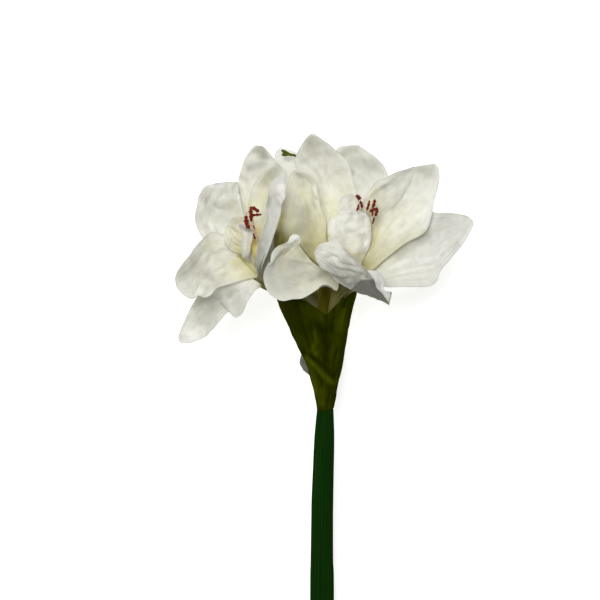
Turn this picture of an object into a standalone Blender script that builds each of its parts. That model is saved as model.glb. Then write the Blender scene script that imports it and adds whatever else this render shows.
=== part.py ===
"""A cut amaryllis, lying down: one thick stem with a sheath at its top and three open blooms.

Metres, +Z up. The stem's cut end and two petal tips of the bloom underneath touch the surface.
Shapes are laid out on a flat grid: steps right, steps down, and a height in millimetres.
The grid is as seen from a point straight above its middle, so that nearer things look larger.
"""

import bpy
import bmesh
import numpy as np

# Layout grid
STEP = 0.00085
MIDDLE = 300.0
VIEW_HEIGHT = 1.6
LAYOUT_HEIGHT = 0.08
MM = 0.001

# Thicknesses in metres, and how finely the petals are divided
PETAL_THICK = 0.0009
RUFFLE_THICK = 0.0010
SHEATH_THICK = 0.0012
GAP = 0.0003
PETAL_PARTS = 2
PETAL_ACROSS = 8
UNDER_ACROSS = 6
RUFFLE_ACROSS = 5

# Stem: grid steps down its axis, grid steps right, radius in millimetres
STEM_LINE = (
    (806, 321.5, 10.5),
    (599, 322.2, 10.2),
    (500, 322.7, 9.6),
    (470, 323.4, 8.9),
    (440, 324.3, 8.0),
    (411.6, 325.2, 7.1),
)
STEM_END_HEIGHT = 10.43
STEM_RISE = 0.102
NECK_RADIUS = 5.6
NECK_TOP = 352.0
STEM_SIDES = 16

# Flower stalks inside the sheath: points (right, down, height) from the stem's neck up
STALK_RADIUS = 4.6
STALK_SIDES = 10
STALKS = {
    "left": ((324, 362, 57), (319, 348, 63), (314, 334, 67)),
    "right": ((326, 362, 57), (329, 348, 63), (332, 334, 68)),
    "back": ((325, 362, 56), (324, 348, 52), (323, 334, 50)),
}

# Tube of each bloom above its stalk: centre points (right, down, height) and radius in millimetres
TUBE_SIDES = 11
TUBE_FOOT = 2.0
TUBE_LIP = 3.0
TUBES = {
    "left": ((310, 318, 69, 4.8), (301, 301, 72, 5.2), (286, 287, 77, 6.0),
             (270, 281, 81, 7.2), (260, 273, 87, 9.0)),
    "right": ((333, 318, 70, 4.8), (335, 304, 74, 5.0), (340, 291, 79, 5.8),
              (352, 277, 87, 9.0)),
    "back": ((323, 312, 49, 5.0), (325, 292, 53, 5.4), (325, 279, 54, 6.6),
             (325, 266, 44, 9.0)),
}
# The way each bloom faces: right, up the layout, and height
FACINGS = {
    "left": (-0.35, 0.68, 0.64),
    "right": (0.15, 0.72, 0.68),
    "back": (0.0, 0.42, -0.91),
}
ROOT_DEPTH = 6.0
ROOT_RING = 5.2
ROOT_HALF = 3.4
RIM_RING = 8.0
RIM_HALF = 5.4

# Petals. Each row is one edge point, the other edge point, both as (right, down, height), and how
# far the rib lies below the line between them; rows run from the throat to the tip.
# fold: 0 for a round cross-section, 1 for a sharp crease. wave: height in mm, count, start.
LEFT_PETALS = {
    "upper_left": dict(fold=0.3, wave=(1.0, 2.0, 0.3), rows=(
        (226, 256, 90, 250, 240, 88, 5),
        (205, 243, 92, 245, 214, 86, 6),
        (195.7, 221, 93, 241, 194, 84, 4),
        (197.5, 200, 93, 228, 183.5, 84, 1),
        (203, 188.7, 91, 216, 183.2, 87, 0),
        (206.5, 185.6, 90, 209, 184.6, 89, 0),
    )),
    "top": dict(fold=0.35, wave=(1.2, 1.6, 0.1), rows=(
        (247, 236, 80, 262, 236, 82, 3),
        (242, 208, 77, 268, 206, 80, 5),
        (238, 184, 74, 275, 180, 77, 5),
        (242.5, 164, 70, 275, 163, 73, 4),
        (250, 151.5, 67, 268.5, 151.5, 69, 2),
        (256, 146.2, 66, 261, 146.2, 66, 0),
    )),
    "top_right": dict(fold=0.3, wave=(0.8, 1.5, 0.7), rows=(
        (251, 236, 88, 264, 244, 92, 3),
        (247.5, 211, 86, 271, 216, 95, 5),
        (252, 189, 84, 279, 195, 97, 6),
        (264, 171, 84, 285, 180, 96, 4),
        (271, 164, 86, 285, 173, 92, 1),
        (276, 162.6, 88, 280, 165, 89, 0),
    )),
    "near": dict(fold=0.2, wave=(0.8, 1.5, 0.0), rows=(
        (257, 267, 98, 266, 267, 94, -2),
        (260, 248, 108, 273, 248, 101, -4),
        (264.5, 225, 115, 280, 222, 106, -5),
        (266, 206, 119, 283, 200, 109, -5),
        (269, 188, 120, 285, 184, 110, -4),
        (272, 181, 119, 283, 178.2, 112, -2),
        (276, 179, 117, 279, 178.2, 115, 0),
    )),
    "low_left": dict(fold=0.3, wave=(1.8, 2.6, 0.2), rows=(
        (240, 249, 96, 241, 279, 92, 4),
        (225, 236, 103, 225, 286, 99, 7),
        (208, 236, 110, 211, 294.5, 106, 8),
        (194, 251, 115, 199, 298.5, 112, 7),
        (182, 264, 118, 187, 297.5, 117, 4),
        (176.6, 272, 119, 180, 289.5, 118, 1),
        (175.3, 277, 118, 176, 282, 118, 0),
    )),
    "low": dict(fold=0.3, wave=(1.6, 2.2, 0.6), rows=(
        (240, 279, 86, 252, 297, 85, 3),
        (222, 286, 88, 241, 315, 87, 5),
        (206, 293, 90, 228, 314, 90, 4),
        (192, 303, 92, 216, 328, 91, 4),
        (183.5, 321, 91, 203, 338, 89, 3),
        (178.3, 335, 88, 190, 342.5, 87, 1),
        (179.3, 341, 86, 183, 343.5, 86, 0),
    )),
}
RIGHT_PETALS = {
    "top": dict(fold=0.35, wave=(1.2, 1.7, 0.4), rows=(
        (330, 244, 78, 358, 240, 79, 4),
        (312, 206, 76, 359, 204, 72, 6),
        (299, 174, 78, 352, 174, 68, 6),
        (298, 152, 74, 338, 152, 66, 4),
        (303.5, 138.5, 69, 325, 139.6, 66, 2),
        (310.5, 133.8, 66, 314.5, 134, 66, 0),
    )),
    "far_left": dict(fold=0.8, wave=(0.8, 1.5, 0.2), rows=(
        (305, 268, 86, 330, 256, 84, 5),
        (284, 246, 88, 328, 233, 87, 9),
        (279.5, 222, 90, 326, 215, 91, 9),
        (282.5, 200, 92, 318.5, 201, 93, 8),
        (286.5, 183, 92, 318.3, 187, 94, 5),
        (290, 174, 92, 311, 177.5, 93, 2),
        (293.8, 168.2, 91, 300, 169.8, 91, 0),
    )),
    "up_right": dict(fold=0.5, wave=(1.0, 1.8, 0.5), rows=(
        (362, 240, 92, 385, 259, 92, 4),
        (361, 206, 96, 405, 246, 98, 7),
        (375, 184, 97, 426, 231, 100, 8),
        (400, 171, 96, 437, 202, 98, 6),
        (424, 164.6, 93, 440, 180, 94, 2),
        (434.5, 163.6, 91, 439, 168, 92, 0),
    )),
    "right": dict(fold=0.25, wave=(1.6, 2.0, 0.1), rows=(
        (385, 251, 78, 385, 287, 79, 4),
        (408, 229, 76, 406, 286.5, 76, 6),
        (430, 213, 72, 428, 285.5, 72, 5),
        (452, 213.5, 69, 449, 264.8, 69, 4),
        (467, 215.7, 66, 464.5, 242, 67, 2),
        (473.5, 221, 65, 473.5, 226, 65, 0),
    )),
    "near": dict(fold=0.1, wave=(0.5, 1.5, 0.0), rows=(
        (346, 258, 101, 341, 277, 99, 0),
        (331, 248, 113, 324, 266, 111, 0),
        (319, 245, 123, 314.5, 256, 122, 0),
        (331, 241, 131, 319, 263.5, 131, 0),
        (347, 251, 134, 335, 278, 134, -1),
        (363, 266, 132, 354, 290.5, 132, -2),
        (376.5, 280, 126, 371, 297, 127, -1),
        (390.5, 292, 118, 388, 304, 118, 0),
    )),
    "low_left": dict(fold=0.15, wave=(1.2, 2.0, 0.4), rows=(
        (336, 290.5, 93, 342, 271, 94, 1),
        (325, 284.5, 98, 327, 268.5, 98, 2),
        (306, 297.5, 106, 312, 262, 104, 5),
        (286, 301.6, 112, 304.5, 253, 108, 6),
        (268.5, 289, 116, 300, 246.5, 110, 6),
        (265, 271, 117, 299, 243, 111, 5),
        (273, 252, 117, 299.8, 240, 112, 3),
        (287.5, 242, 115, 300.8, 237, 113, 1),
        (291.5, 235, 113, 299.5, 234, 112, 0),
    )),
}
BACK_PETALS = {
    "upper_left": dict(fold=0.3, wave=(1.0, 1.8, 0.3), rows=(
        (302, 230, 36, 319, 223, 36, -3),
        (284, 197, 28, 311, 190, 28, -5),
        (274, 169, 21, 301, 166, 21, -5),
        (275, 153, 16, 297, 153.5, 16, -2),
        (280, 147.6, 14, 288, 149, 14, 0),
    )),
    "upper_right": dict(fold=0.3, wave=(1.2, 1.8, 0.6), rows=(
        (327, 222, 36, 350, 224, 36, -3),
        (328, 190, 29, 377, 196, 29, -5),
        (330, 165, 23, 389, 177, 23, -5),
        (338, 148.8, 19, 374, 156, 19, -3),
        (350, 144.8, 17, 359, 145.2, 17, 0),
    )),
    "right_high": dict(fold=0.3, wave=(1.0, 1.6, 0.1), rows=(
        (345, 233, 35, 358, 248, 34, -3),
        (363, 207, 28, 385, 233, 28, -5),
        (387, 193, 20, 406, 217, 20, -4),
        (403, 190, 13, 413, 204, 13, -1),
        (410, 193, 10, 413, 197, 10, 0),
    )),
    "right_low": dict(fold=0.3, wave=(0.8, 1.6, 0.4), rows=(
        (351, 246, 34, 351, 270, 34, -3),
        (376, 238, 25, 375, 284, 25, -5),
        (400, 243, 13, 399, 283, 13, -4),
        (416, 254, 4, 415, 275, 4, -1),
        (422.5, 262, 0.415, 422, 267, 0.415, 0),
    )),
    "low": dict(fold=0.3, wave=(0.8, 1.6, 0.0), rows=(
        (311, 292, 31, 339, 292, 31, -2),
        (305, 320, 26, 342, 320, 26, -3),
        (301.5, 343, 21, 337, 344, 21, -3),
        (299.3, 361, 15, 324, 365, 15, -2),
        (303.5, 371, 11, 311, 376.5, 11, 0),
    )),
    "left": dict(fold=0.3, wave=(0.8, 1.6, 0.7), rows=(
        (298, 246, 34, 298, 272, 34, -3),
        (268, 240, 25, 268, 281, 25, -5),
        (240, 243, 13, 240, 281, 13, -4),
        (222, 252, 4, 222, 273, 4, -1),
        (213.5, 260, 0.415, 213.5, 265, 0.415, 0),
    )),
}

# Small curled petals in the throats, in the same form
LEFT_RUFFLES = {
    "curl": dict(fold=0.4, wave=(0.8, 1.5, 0.0), rows=(
        (240, 260, 102, 250, 252, 101, 2),
        (229, 246, 106, 246, 238, 104, 4),
        (225.5, 231, 108, 243, 225, 106, 3),
        (230, 221, 106, 240, 219, 106, 0),
        (234, 218, 105, 237, 217.5, 105, 0),
    )),
    "inner": dict(fold=0.2, wave=(0.6, 1.5, 0.4), rows=(
        (245, 258, 104, 253, 256, 103, -1),
        (241, 246, 109, 253, 243, 108, -3),
        (243, 234, 111, 252.5, 231, 110, -3),
        (246.5, 228.5, 110, 250.5, 227, 110, -1),
    )),
}
RIGHT_RUFFLES = {
    "rear": dict(fold=0.2, wave=(0.6, 1.5, 0.2), rows=(
        (345, 244, 96, 361, 240, 95, 1),
        (338, 218, 101, 360, 214, 100, 2),
        (337.5, 203, 103, 358, 200.5, 102, 1),
        (344, 195.6, 103, 352, 195, 103, 0),
    )),
    "main": dict(fold=0.1, wave=(1.2, 2.2, 0.5), rows=(
        (338, 252, 104, 359, 255, 103, -2),
        (332, 236, 109, 368, 239, 108, -5),
        (336, 221, 111, 370, 222, 110, -5),
        (342, 211.5, 109, 363, 212, 109, -3),
        (349, 209.5, 108, 355, 209.5, 108, 0),
    )),
    "small": dict(fold=0.2, wave=(0.4, 1.5, 0.3), rows=(
        (333, 254, 100, 341, 252, 101, 0),
        (328, 238, 105, 337, 237, 105, -1),
        (328.5, 224, 107, 336.5, 223, 107, -1),
        (331, 217.5, 107, 334.5, 217.5, 107, 0),
    )),
    "ring": dict(fold=0.1, wave=(0.5, 1.5, 0.1), rows=(
        (352, 263, 108, 362, 263, 107, -1),
        (350, 251, 114, 368, 249, 112, -3),
        (352, 238, 117, 371, 238, 114, -3),
        (356, 231, 115, 367, 230.5, 114, -1),
    )),
}
RUFFLE_RIM_RING = 6.2
RUFFLE_RIM_HALF = 2.4
RUFFLE_ROOT_HALF = 1.8

# Stamens: the filament's way (right, down, height) and the pollen head's far end
FILAMENT_RADIUS = 0.55
HEAD_RADIUS = 1.15
HEAD_OVERLAP = 0.3
PAD_RADIUS = 2.6
PAD_HEIGHT = 2.4
BACK_PAD_SHIFT = 3.0
LEFT_STAMENS = (
    ((257, 250, 104), (253, 228, 112), (249, 208, 117), (258.5, 212.5, 118)),
    ((256, 248, 106), (251, 228, 114), (247.8, 212, 119), (251.5, 221.5, 120)),
    ((258, 250, 104), (256, 232, 110), (253, 216, 114), (261.5, 214, 115)),
    ((256, 249, 107), (251, 233, 115), (246.2, 216, 119), (248.5, 227, 120)),
    ((257.5, 250, 103), (256.5, 240, 107), (254.3, 229, 109), (254.0, 221, 111)),
    ((258, 252, 103), (258, 246, 106), (256.5, 241, 108), (254.5, 234, 110)),
)
RIGHT_STAMENS = (
    ((365, 252, 97), (372, 232, 100), (372, 214, 103), (369, 206, 104)),
    ((366, 252, 97), (375, 230, 100), (377, 212, 102), (375, 221, 105)),
    ((364, 250, 96), (369, 228, 99), (370, 214, 102), (366.7, 206, 107)),
    ((364, 250, 96), (368, 225, 99), (364, 209, 104), (361, 200.5, 107)),
    ((363, 250, 96), (366, 222, 98), (361, 203, 105), (356.3, 195.5, 107)),
    ((365, 251, 97), (373, 224, 100), (374.5, 205, 103), (371.5, 212, 108)),
)
BACK_STAMENS = (
    ((321, 262, 32), (315, 256, 20), (308, 250, 10), (301, 247, 8)),
    ((328, 262, 32), (334, 257, 20), (341, 252, 10), (348, 250, 8)),
    ((325, 262, 30), (326, 262, 18), (327, 266, 9), (329, 275, 7)),
)

# Pistil of the bloom underneath: its way from beside the stamens, and the ends of its parted tip
STYLE_RADIUS = 0.95
STIGMA_RADIUS = 1.7
STYLE_SHIFT = -4.0
STYLE_RISE = 3.5
PISTIL_LINE = (
    (325, 254, 37), (323, 240, 32), (320.5, 222, 31), (317, 203, 34),
    (308, 178, 37), (297.5, 156.6, 35), (289, 153.6, 33),
)
STIGMA_ENDS = ((281.7, 150.4, 33), (282.3, 155.6, 33), (284.5, 152.5, 29.5))

# Sheath: grid steps down, its middle, half its width in steps, and half its depth in millimetres
SHEATH_STATIONS = (
    (409.3, 325.25, 8.5, 7.2),
    (402.0, 325.2, 9.4, 7.9),
    (388.0, 325.1, 12.1, 10.0),
    (375.0, 324.9, 15.4, 12.5),
    (362.0, 324.3, 18.3, 15.0),
    (350.0, 322.8, 22.2, 18.0),
    (336.0, 320.3, 26.8, 21.0),
    (320.0, 318.4, 31.4, 23.5),
    (306.0, 316.6, 36.2, 25.0),
    (291.0, 316.2, 41.5, 26.0),
)
SHEATH_ROUND = 24
SHEATH_ALONG = 9
SHEATH_FOOT = 410.0
SHEATH_FOOT_LIFT = 2.5
SHEATH_NOTCH = 315.0
SHEATH_NOTCH_ANGLE = 1.28
SHEATH_FRONT_RISE = ((15.5, 0.65), (24.0, 1.05))
SHEATH_BACK_NOTCH = 16.0

# Colours and surfaces
PETAL_WHITE = (0.80, 0.80, 0.74)
STAMEN_RED = (0.16, 0.012, 0.008)
PISTIL_GREEN = (0.10, 0.13, 0.0)
STEM_GREEN = (0.006, 0.022, 0.002)
SHEATH_GREEN = (0.03, 0.04, 0.001)


def clear_scene():
    """Removes what a new scene starts with."""
    for thing in list(bpy.data.objects):
        bpy.data.objects.remove(thing, do_unlink=True)


def places(points):
    """Layout points (right, down, height in mm) as metres."""
    points = np.asarray(points, dtype=float)
    height = points[..., 2] * MM
    spread = STEP * (VIEW_HEIGHT - height) / (VIEW_HEIGHT - LAYOUT_HEIGHT)
    across = (points[..., 0] - MIDDLE) * spread
    up = (MIDDLE - points[..., 1]) * spread
    return np.stack([across, up, height], axis=-1)


def smooth_through(rows, parts):
    """Rows of numbers on a smooth (Catmull-Rom) curve through the given rows."""
    rows = np.asarray(rows, dtype=float)
    padded = np.concatenate([[2 * rows[0] - rows[1]], rows, [2 * rows[-1] - rows[-2]]])
    a, b, c, d = padded[:-3], padded[1:-2], padded[2:-1], padded[3:]
    t = (np.arange(parts) / parts)[None, :, None]
    a, b, c, d = (x[:, None, :] for x in (a, b, c, d))
    curve = 0.5 * (2 * b + (c - a) * t + (2 * a - 5 * b + 4 * c - d) * t**2
                   + (3 * b - a - 3 * c + d) * t**3)
    return np.concatenate([curve.reshape(-1, rows.shape[1]), rows[-1:]])


def unit(vector):
    """The vector at length one."""
    vector = np.asarray(vector, dtype=float)
    return vector / np.linalg.norm(vector, axis=-1, keepdims=True)


def rooted(rows, bloom, rim_ring, rim_half, root_half):
    """Edge points and rib drops in metres, with two rows added that sink the blade in the tube."""
    rows = np.asarray(rows, dtype=float)
    left, right = places(rows[:, 0:3]), places(rows[:, 3:6])
    throat = places(np.array(TUBES[bloom][-1][:3]))
    facing = unit(FACINGS[bloom])
    out = (left[0] + right[0]) / 2 - throat
    out = unit(out - facing * np.dot(out, facing))
    side = unit(np.cross(facing, out))
    side = side * np.sign(np.dot(right[0] - left[0], side))
    root = throat - facing * ROOT_DEPTH * MM + out * ROOT_RING * MM
    rim = throat + out * rim_ring * MM
    left = np.concatenate([[root - side * root_half * MM, rim - side * rim_half * MM], left])
    right = np.concatenate([[root + side * root_half * MM, rim + side * rim_half * MM], right])
    drop = np.concatenate([[0.0, 0.0], rows[:, 6]]) * MM
    return np.concatenate([left, right, drop[:, None]], axis=1)


def blade_grid(spec, bloom, across, ring=(RIM_RING, RIM_HALF, ROOT_HALF)):
    """Middle surface of a petal: a bowed line across from edge to edge, carried along the rows."""
    rows = smooth_through(rooted(spec["rows"], bloom, *ring), PETAL_PARTS)
    rows = np.delete(rows, np.arange(1, PETAL_PARTS), axis=0)
    left, right, drop = rows[:, None, 0:3], rows[:, None, 3:6], rows[:, None, 6]
    t = np.linspace(-1, 1, across + 1)[None, :]
    bow = (1 - spec["fold"]) * t**2 + spec["fold"] * np.abs(t)
    grid = (left + right) / 2 + t[..., None] * (right - left) / 2
    lift = -drop * (1 - bow)
    height, count, start = spec["wave"]
    s = np.linspace(0, 1, len(rows))[:, None]
    swell = np.sin(2 * np.pi * (count * s + start + 0.17 * np.sign(t))) * np.abs(t) ** 3
    lift = lift + height * MM * swell * np.sin(np.pi * np.clip(s, 0, 1)) ** 0.7
    grid[..., 2] += lift
    return grid


def slab(grid, thickness):
    """A closed sheet of even thickness round a middle surface, alike in triangles on both faces."""
    normal = unit(np.cross(np.gradient(grid, axis=0), np.gradient(grid, axis=1)))
    upper = (grid + normal * thickness / 2).reshape(-1, 3)
    lower = (grid - normal * thickness / 2).reshape(-1, 3)
    count = len(upper)
    index = np.arange(count).reshape(grid.shape[:2])
    a, b = index[:-1, :-1].ravel(), index[1:, :-1].ravel()
    c, d = index[1:, 1:].ravel(), index[:-1, 1:].ravel()
    face = np.concatenate([np.stack([a, b, c], 1), np.stack([a, c, d], 1)])
    rim = np.concatenate([index[:, 0], index[-1, 1:], index[-2::-1, -1], index[0, -2:0:-1]])
    after = np.roll(rim, -1)
    wall = np.concatenate([
        np.stack([after, rim, rim + count], 1),
        np.stack([after, rim + count, after + count], 1),
    ])
    return np.concatenate([upper, lower]), np.concatenate([face, face[:, ::-1] + count, wall])


def frames_along(line):
    """Two directions square to a line at each of its points, turning as little as they can."""
    ahead = unit(np.gradient(line, axis=0))
    side = np.cross(ahead[0], (0.0, 0.0, 1.0))
    if np.linalg.norm(side) < 0.1:
        side = np.cross(ahead[0], (1.0, 0.0, 0.0))
    sides = []
    for direction in ahead:
        side = unit(side - direction * np.dot(side, direction))
        sides.append(side)
    sides = np.array(sides)
    return sides, np.cross(ahead, sides)


def rod(line, radii, corners):
    """A closed round rod: a circle of the given radius carried along a line."""
    line, radii = np.asarray(line, dtype=float), np.asarray(radii, dtype=float)
    side, up = frames_along(line)
    turn = np.arange(corners) * 2 * np.pi / corners
    ring = (np.cos(turn)[None, :, None] * side[:, None] + np.sin(turn)[None, :, None] * up[:, None])
    points = (line[:, None] + ring * radii[:, None, None]).reshape(-1, 3)
    index = np.arange(len(points)).reshape(len(line), corners)
    after = np.roll(index, -1, axis=1)
    a, b, c, d = index[:-1].ravel(), index[1:].ravel(), after[1:].ravel(), after[:-1].ravel()
    faces = [np.stack([a, b, c], 1), np.stack([a, c, d], 1)]
    first, last = len(points), len(points) + 1
    faces.append(np.stack([np.full(corners, first), index[0], after[0]], 1))
    faces.append(np.stack([np.full(corners, last), after[-1], index[-1]], 1))
    return np.concatenate([points, line[:1], line[-1:]]), np.concatenate(faces)


def material(name, colour, roughness):
    """A plain surface of one colour."""
    made = bpy.data.materials.new(name)
    made.use_nodes = True
    shader = made.node_tree.nodes["Principled BSDF"]
    shader.inputs["Base Color"].default_value = (*colour, 1.0)
    shader.inputs["Roughness"].default_value = roughness
    shader.inputs["Metallic"].default_value = 0.0
    return made


def thing_from(name, shape):
    """An object made of one shape, with every face turned outward."""
    mesh = bpy.data.meshes.new(name)
    mesh.from_pydata(shape[0].tolist(), [], shape[1].tolist())
    work = bmesh.new()
    work.from_mesh(mesh)
    bmesh.ops.recalc_face_normals(work, faces=work.faces)
    work.to_mesh(mesh)
    work.free()
    thing = bpy.data.objects.new(name, mesh)
    bpy.context.scene.collection.objects.link(thing)
    return thing


def volume_of(faces):
    """Signed volume that a set of faces closes in."""
    total = 0.0
    for face in faces:
        corners = [v.co for v in face.verts]
        for i in range(1, len(corners) - 1):
            total += corners[0].dot(corners[i].cross(corners[i + 1])) / 6
    return total


def keep_main_body(mesh):
    """Keeps the largest closed skin, so that scraps go and sealed hollows are filled."""
    work = bmesh.new()
    work.from_mesh(mesh)
    left = set(work.faces)
    skins = []
    while left:
        skin, queue = [], [left.pop()]
        while queue:
            face = queue.pop()
            skin.append(face)
            for edge in face.edges:
                for other in edge.link_faces:
                    if other in left:
                        left.discard(other)
                        queue.append(other)
        skins.append(skin)
    skins.sort(key=volume_of)
    spare = [face for skin in skins[:-1] for face in skin]
    bmesh.ops.delete(work, geom=spare, context="FACES")
    work.to_mesh(mesh)
    work.free()


def fuse(name, shapes, look):
    """One body made of several that overlap."""
    body = thing_from(name, shapes[0])
    group = bpy.data.collections.new(name + "_parts")
    for number, shape in enumerate(shapes[1:]):
        part = thing_from(f"{name}_part_{number}", shape)
        bpy.context.scene.collection.objects.unlink(part)
        group.objects.link(part)
    bpy.context.scene.collection.children.link(group)
    joined = body.modifiers.new("joined", "BOOLEAN")
    joined.operation = "UNION"
    joined.operand_type = "COLLECTION"
    joined.collection = group
    joined.solver = "MANIFOLD"
    graph = bpy.context.evaluated_depsgraph_get()
    mesh = bpy.data.meshes.new_from_object(body.evaluated_get(graph))
    body.modifiers.remove(joined)
    body.data = mesh
    for part in list(group.objects):
        bpy.data.objects.remove(part, do_unlink=True)
    bpy.data.collections.remove(group)
    keep_main_body(mesh)
    return finish(body, look)


def finish(body, look):
    """Gives a body its surface and smooth shading."""
    body.data.materials.clear()
    body.data.materials.append(look)
    body.data.shade_smooth()
    return body


def stem_height(down):
    """Height in mm of the stem's axis, which rises from its cut end to the blooms."""
    return STEM_END_HEIGHT + STEM_RISE * (STEM_LINE[0][0] - down)


def stem_shapes():
    """The long stem with a thinner neck inside the sheath."""
    line = [(right, down, stem_height(down)) for down, right, _ in STEM_LINE]
    radii = [radius for _, _, radius in STEM_LINE]
    last_down, last_right = STEM_LINE[-1][0], STEM_LINE[-1][1]
    for down in (last_down - 1.2, NECK_TOP + 10, NECK_TOP):
        line.append((last_right, down, stem_height(down)))
        radii.append(NECK_RADIUS)
    return [rod(places(line), np.array(radii) * MM, STEM_SIDES)]


def stalk_line(bloom):
    """The way of the short stalk that carries one bloom."""
    return smooth_through(places(STALKS[bloom]), 3)


def stalk_shape(bloom):
    """A short stalk that carries one bloom."""
    line = stalk_line(bloom)
    return rod(line, np.full(len(line), STALK_RADIUS * MM), STALK_SIDES)


def stem(look):
    """Stem and its three stalks in one body."""
    shapes = stem_shapes()
    for bloom in STALKS:
        shapes.append(stalk_shape(bloom))
    return fuse("stem", shapes, look)


def tube_shape(bloom):
    """The solid tube of a bloom, from just above its stalk to the floor of its throat."""
    stalk = stalk_line(bloom)
    ahead = unit(stalk[-1] - stalk[-2])
    foot = stalk[-1] + ahead * np.array([[GAP], [TUBE_FOOT * MM]])
    points = np.array(TUBES[bloom], dtype=float)
    centres = np.concatenate([foot, places(points[:, :3])])
    radii = np.concatenate([[STALK_RADIUS, STALK_RADIUS], points[:, 3]]) * MM
    floor, spread = centres[-1].copy(), radii[-1]
    centres[-1] = floor - unit(FACINGS[bloom]) * TUBE_LIP * MM
    rows = smooth_through(np.concatenate([centres[1:], radii[1:, None]], axis=1), 2)
    first, last = np.append(centres[0], radii[0]), np.append(floor, spread)
    rows = np.concatenate([[first], rows, [last]])
    return rod(rows[:, :3], rows[:, 3], TUBE_SIDES)


def perianth(bloom, petals, ruffles, look, across=PETAL_ACROSS):
    """Tube, petals and throat ruffles of one bloom in one body."""
    shapes = [tube_shape(bloom)]
    for spec in petals.values():
        shapes.append(slab(blade_grid(spec, bloom, across), PETAL_THICK))
    ring = (RUFFLE_RIM_RING, RUFFLE_RIM_HALF, RUFFLE_ROOT_HALF)
    for spec in ruffles.values():
        shapes.append(slab(blade_grid(spec, bloom, RUFFLE_ACROSS, ring), RUFFLE_THICK))
    return fuse("perianth_" + bloom, shapes, look)


def seat(bloom, shift):
    """A point just clear of the throat's floor, shifted from its middle by some millimetres."""
    throat = places(np.array(TUBES[bloom][-1][:3]))
    facing = unit(FACINGS[bloom])
    aside = unit(np.cross(facing, (1.0, 0.0, 0.0)))
    return throat + facing * GAP + aside * shift * MM


def pad_shape(bloom, shift):
    """The small round pad from which stamens rise."""
    low = seat(bloom, shift)
    high = low + unit(FACINGS[bloom]) * PAD_HEIGHT * MM
    return rod([low, high], np.full(2, PAD_RADIUS * MM), 10), high


def stamen_shapes(root, points):
    """One stamen: a thin filament and a pollen head hung across its end."""
    line = places(points)
    way = np.concatenate([[root], line[:3]])
    filament = rod(way, np.full(len(way), FILAMENT_RADIUS * MM), 5)
    end, far = line[2], line[3]
    end = end + (end - far) * HEAD_OVERLAP
    share = np.array([0.0, 0.15, 0.5, 0.85, 1.0])
    width = np.array([0.4, 0.85, 1.0, 0.8, 0.4])
    head = rod(end + (far - end) * share[:, None], width * HEAD_RADIUS * MM, 5)
    return [filament, head]


def stamens(bloom, listed, look, shift=0.0):
    """All stamens of one bloom in one body."""
    pad, top = pad_shape(bloom, shift)
    root = top - unit(FACINGS[bloom]) * PAD_HEIGHT * MM * 0.5
    shapes = [pad]
    for points in listed:
        shapes += stamen_shapes(root, points)
    return fuse("stamens_" + bloom, shapes, look)


def pistil(look):
    """The long style of the bloom underneath, with its parted tip."""
    foot = seat("back", STYLE_SHIFT)
    above = foot + unit(FACINGS["back"]) * STYLE_RISE * MM
    curve = smooth_through(np.concatenate([[above], places(PISTIL_LINE)]), 2)
    line = np.concatenate([[foot], curve])
    grow = np.linspace(0, 1, len(line)) ** 6
    radii = (STYLE_RADIUS + (STIGMA_RADIUS - STYLE_RADIUS) * 0.6 * grow) * MM
    shapes = [rod(line, radii, 8)]
    fork = line[-1] + (line[-2] - line[-1]) * 0.6
    for end in STIGMA_ENDS:
        share = np.array([0.0, 0.4, 0.75, 1.0])
        width = np.array([0.6, 0.75, 1.0, 0.5])
        way = fork + (places(end) - fork) * share[:, None]
        shapes.append(rod(way, width * STIGMA_RADIUS * MM, 8))
    return fuse("pistil_back", shapes, look)


def sheath_top(turn):
    """Grid steps down of the sheath's top edge: high at the sides, notched in front and behind."""
    side = np.where(np.cos(turn) < np.cos(SHEATH_NOTCH_ANGLE), 0, 1)
    height, reach = np.array(SHEATH_FRONT_RISE)[side].T
    front = SHEATH_NOTCH - height * np.clip(np.abs(turn - SHEATH_NOTCH_ANGLE) / reach, 0, 1)
    away = np.abs(np.angle(np.exp(1j * (turn + np.pi / 2)))) / (np.pi / 2)
    level = np.where(np.cos(turn) < 0, *(SHEATH_NOTCH - rise for rise, _ in SHEATH_FRONT_RISE))
    behind = level + SHEATH_BACK_NOTCH * np.clip(1 - away, 0, 1)
    return np.where(turn < np.pi, front, behind)


def sheath_foot(turn):
    """Grid steps down of the sheath's foot, square to the stem and a little higher at the right."""
    return SHEATH_FOOT + np.sin(turn) - SHEATH_FOOT_LIFT * np.clip(np.cos(turn), 0, 1)


def sheath_grid(inset):
    """The sheath's skin: flattened rings up the stem that widen to the notched top edge."""
    stations = np.array(SHEATH_STATIONS)
    turn = np.arange(SHEATH_ROUND) * 2 * np.pi / SHEATH_ROUND
    share = np.linspace(0, 1, SHEATH_ALONG + 1)[:, None]
    foot = sheath_foot(turn)[None, :]
    down = foot + share * (sheath_top(turn)[None, :] - foot)
    order = stations[::-1]
    middle = np.interp(down, order[:, 0], order[:, 1])
    wide = np.interp(down, order[:, 0], order[:, 2])
    deep = np.interp(down, order[:, 0], order[:, 3])
    centre_height = stem_height(down)
    wide_mm = wide * STEP / MM - inset
    right = middle + np.cos(turn) * wide_mm * MM / STEP
    height = centre_height + np.sin(turn) * (deep - inset)
    return places(np.stack([right, down, height], axis=-1))


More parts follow.
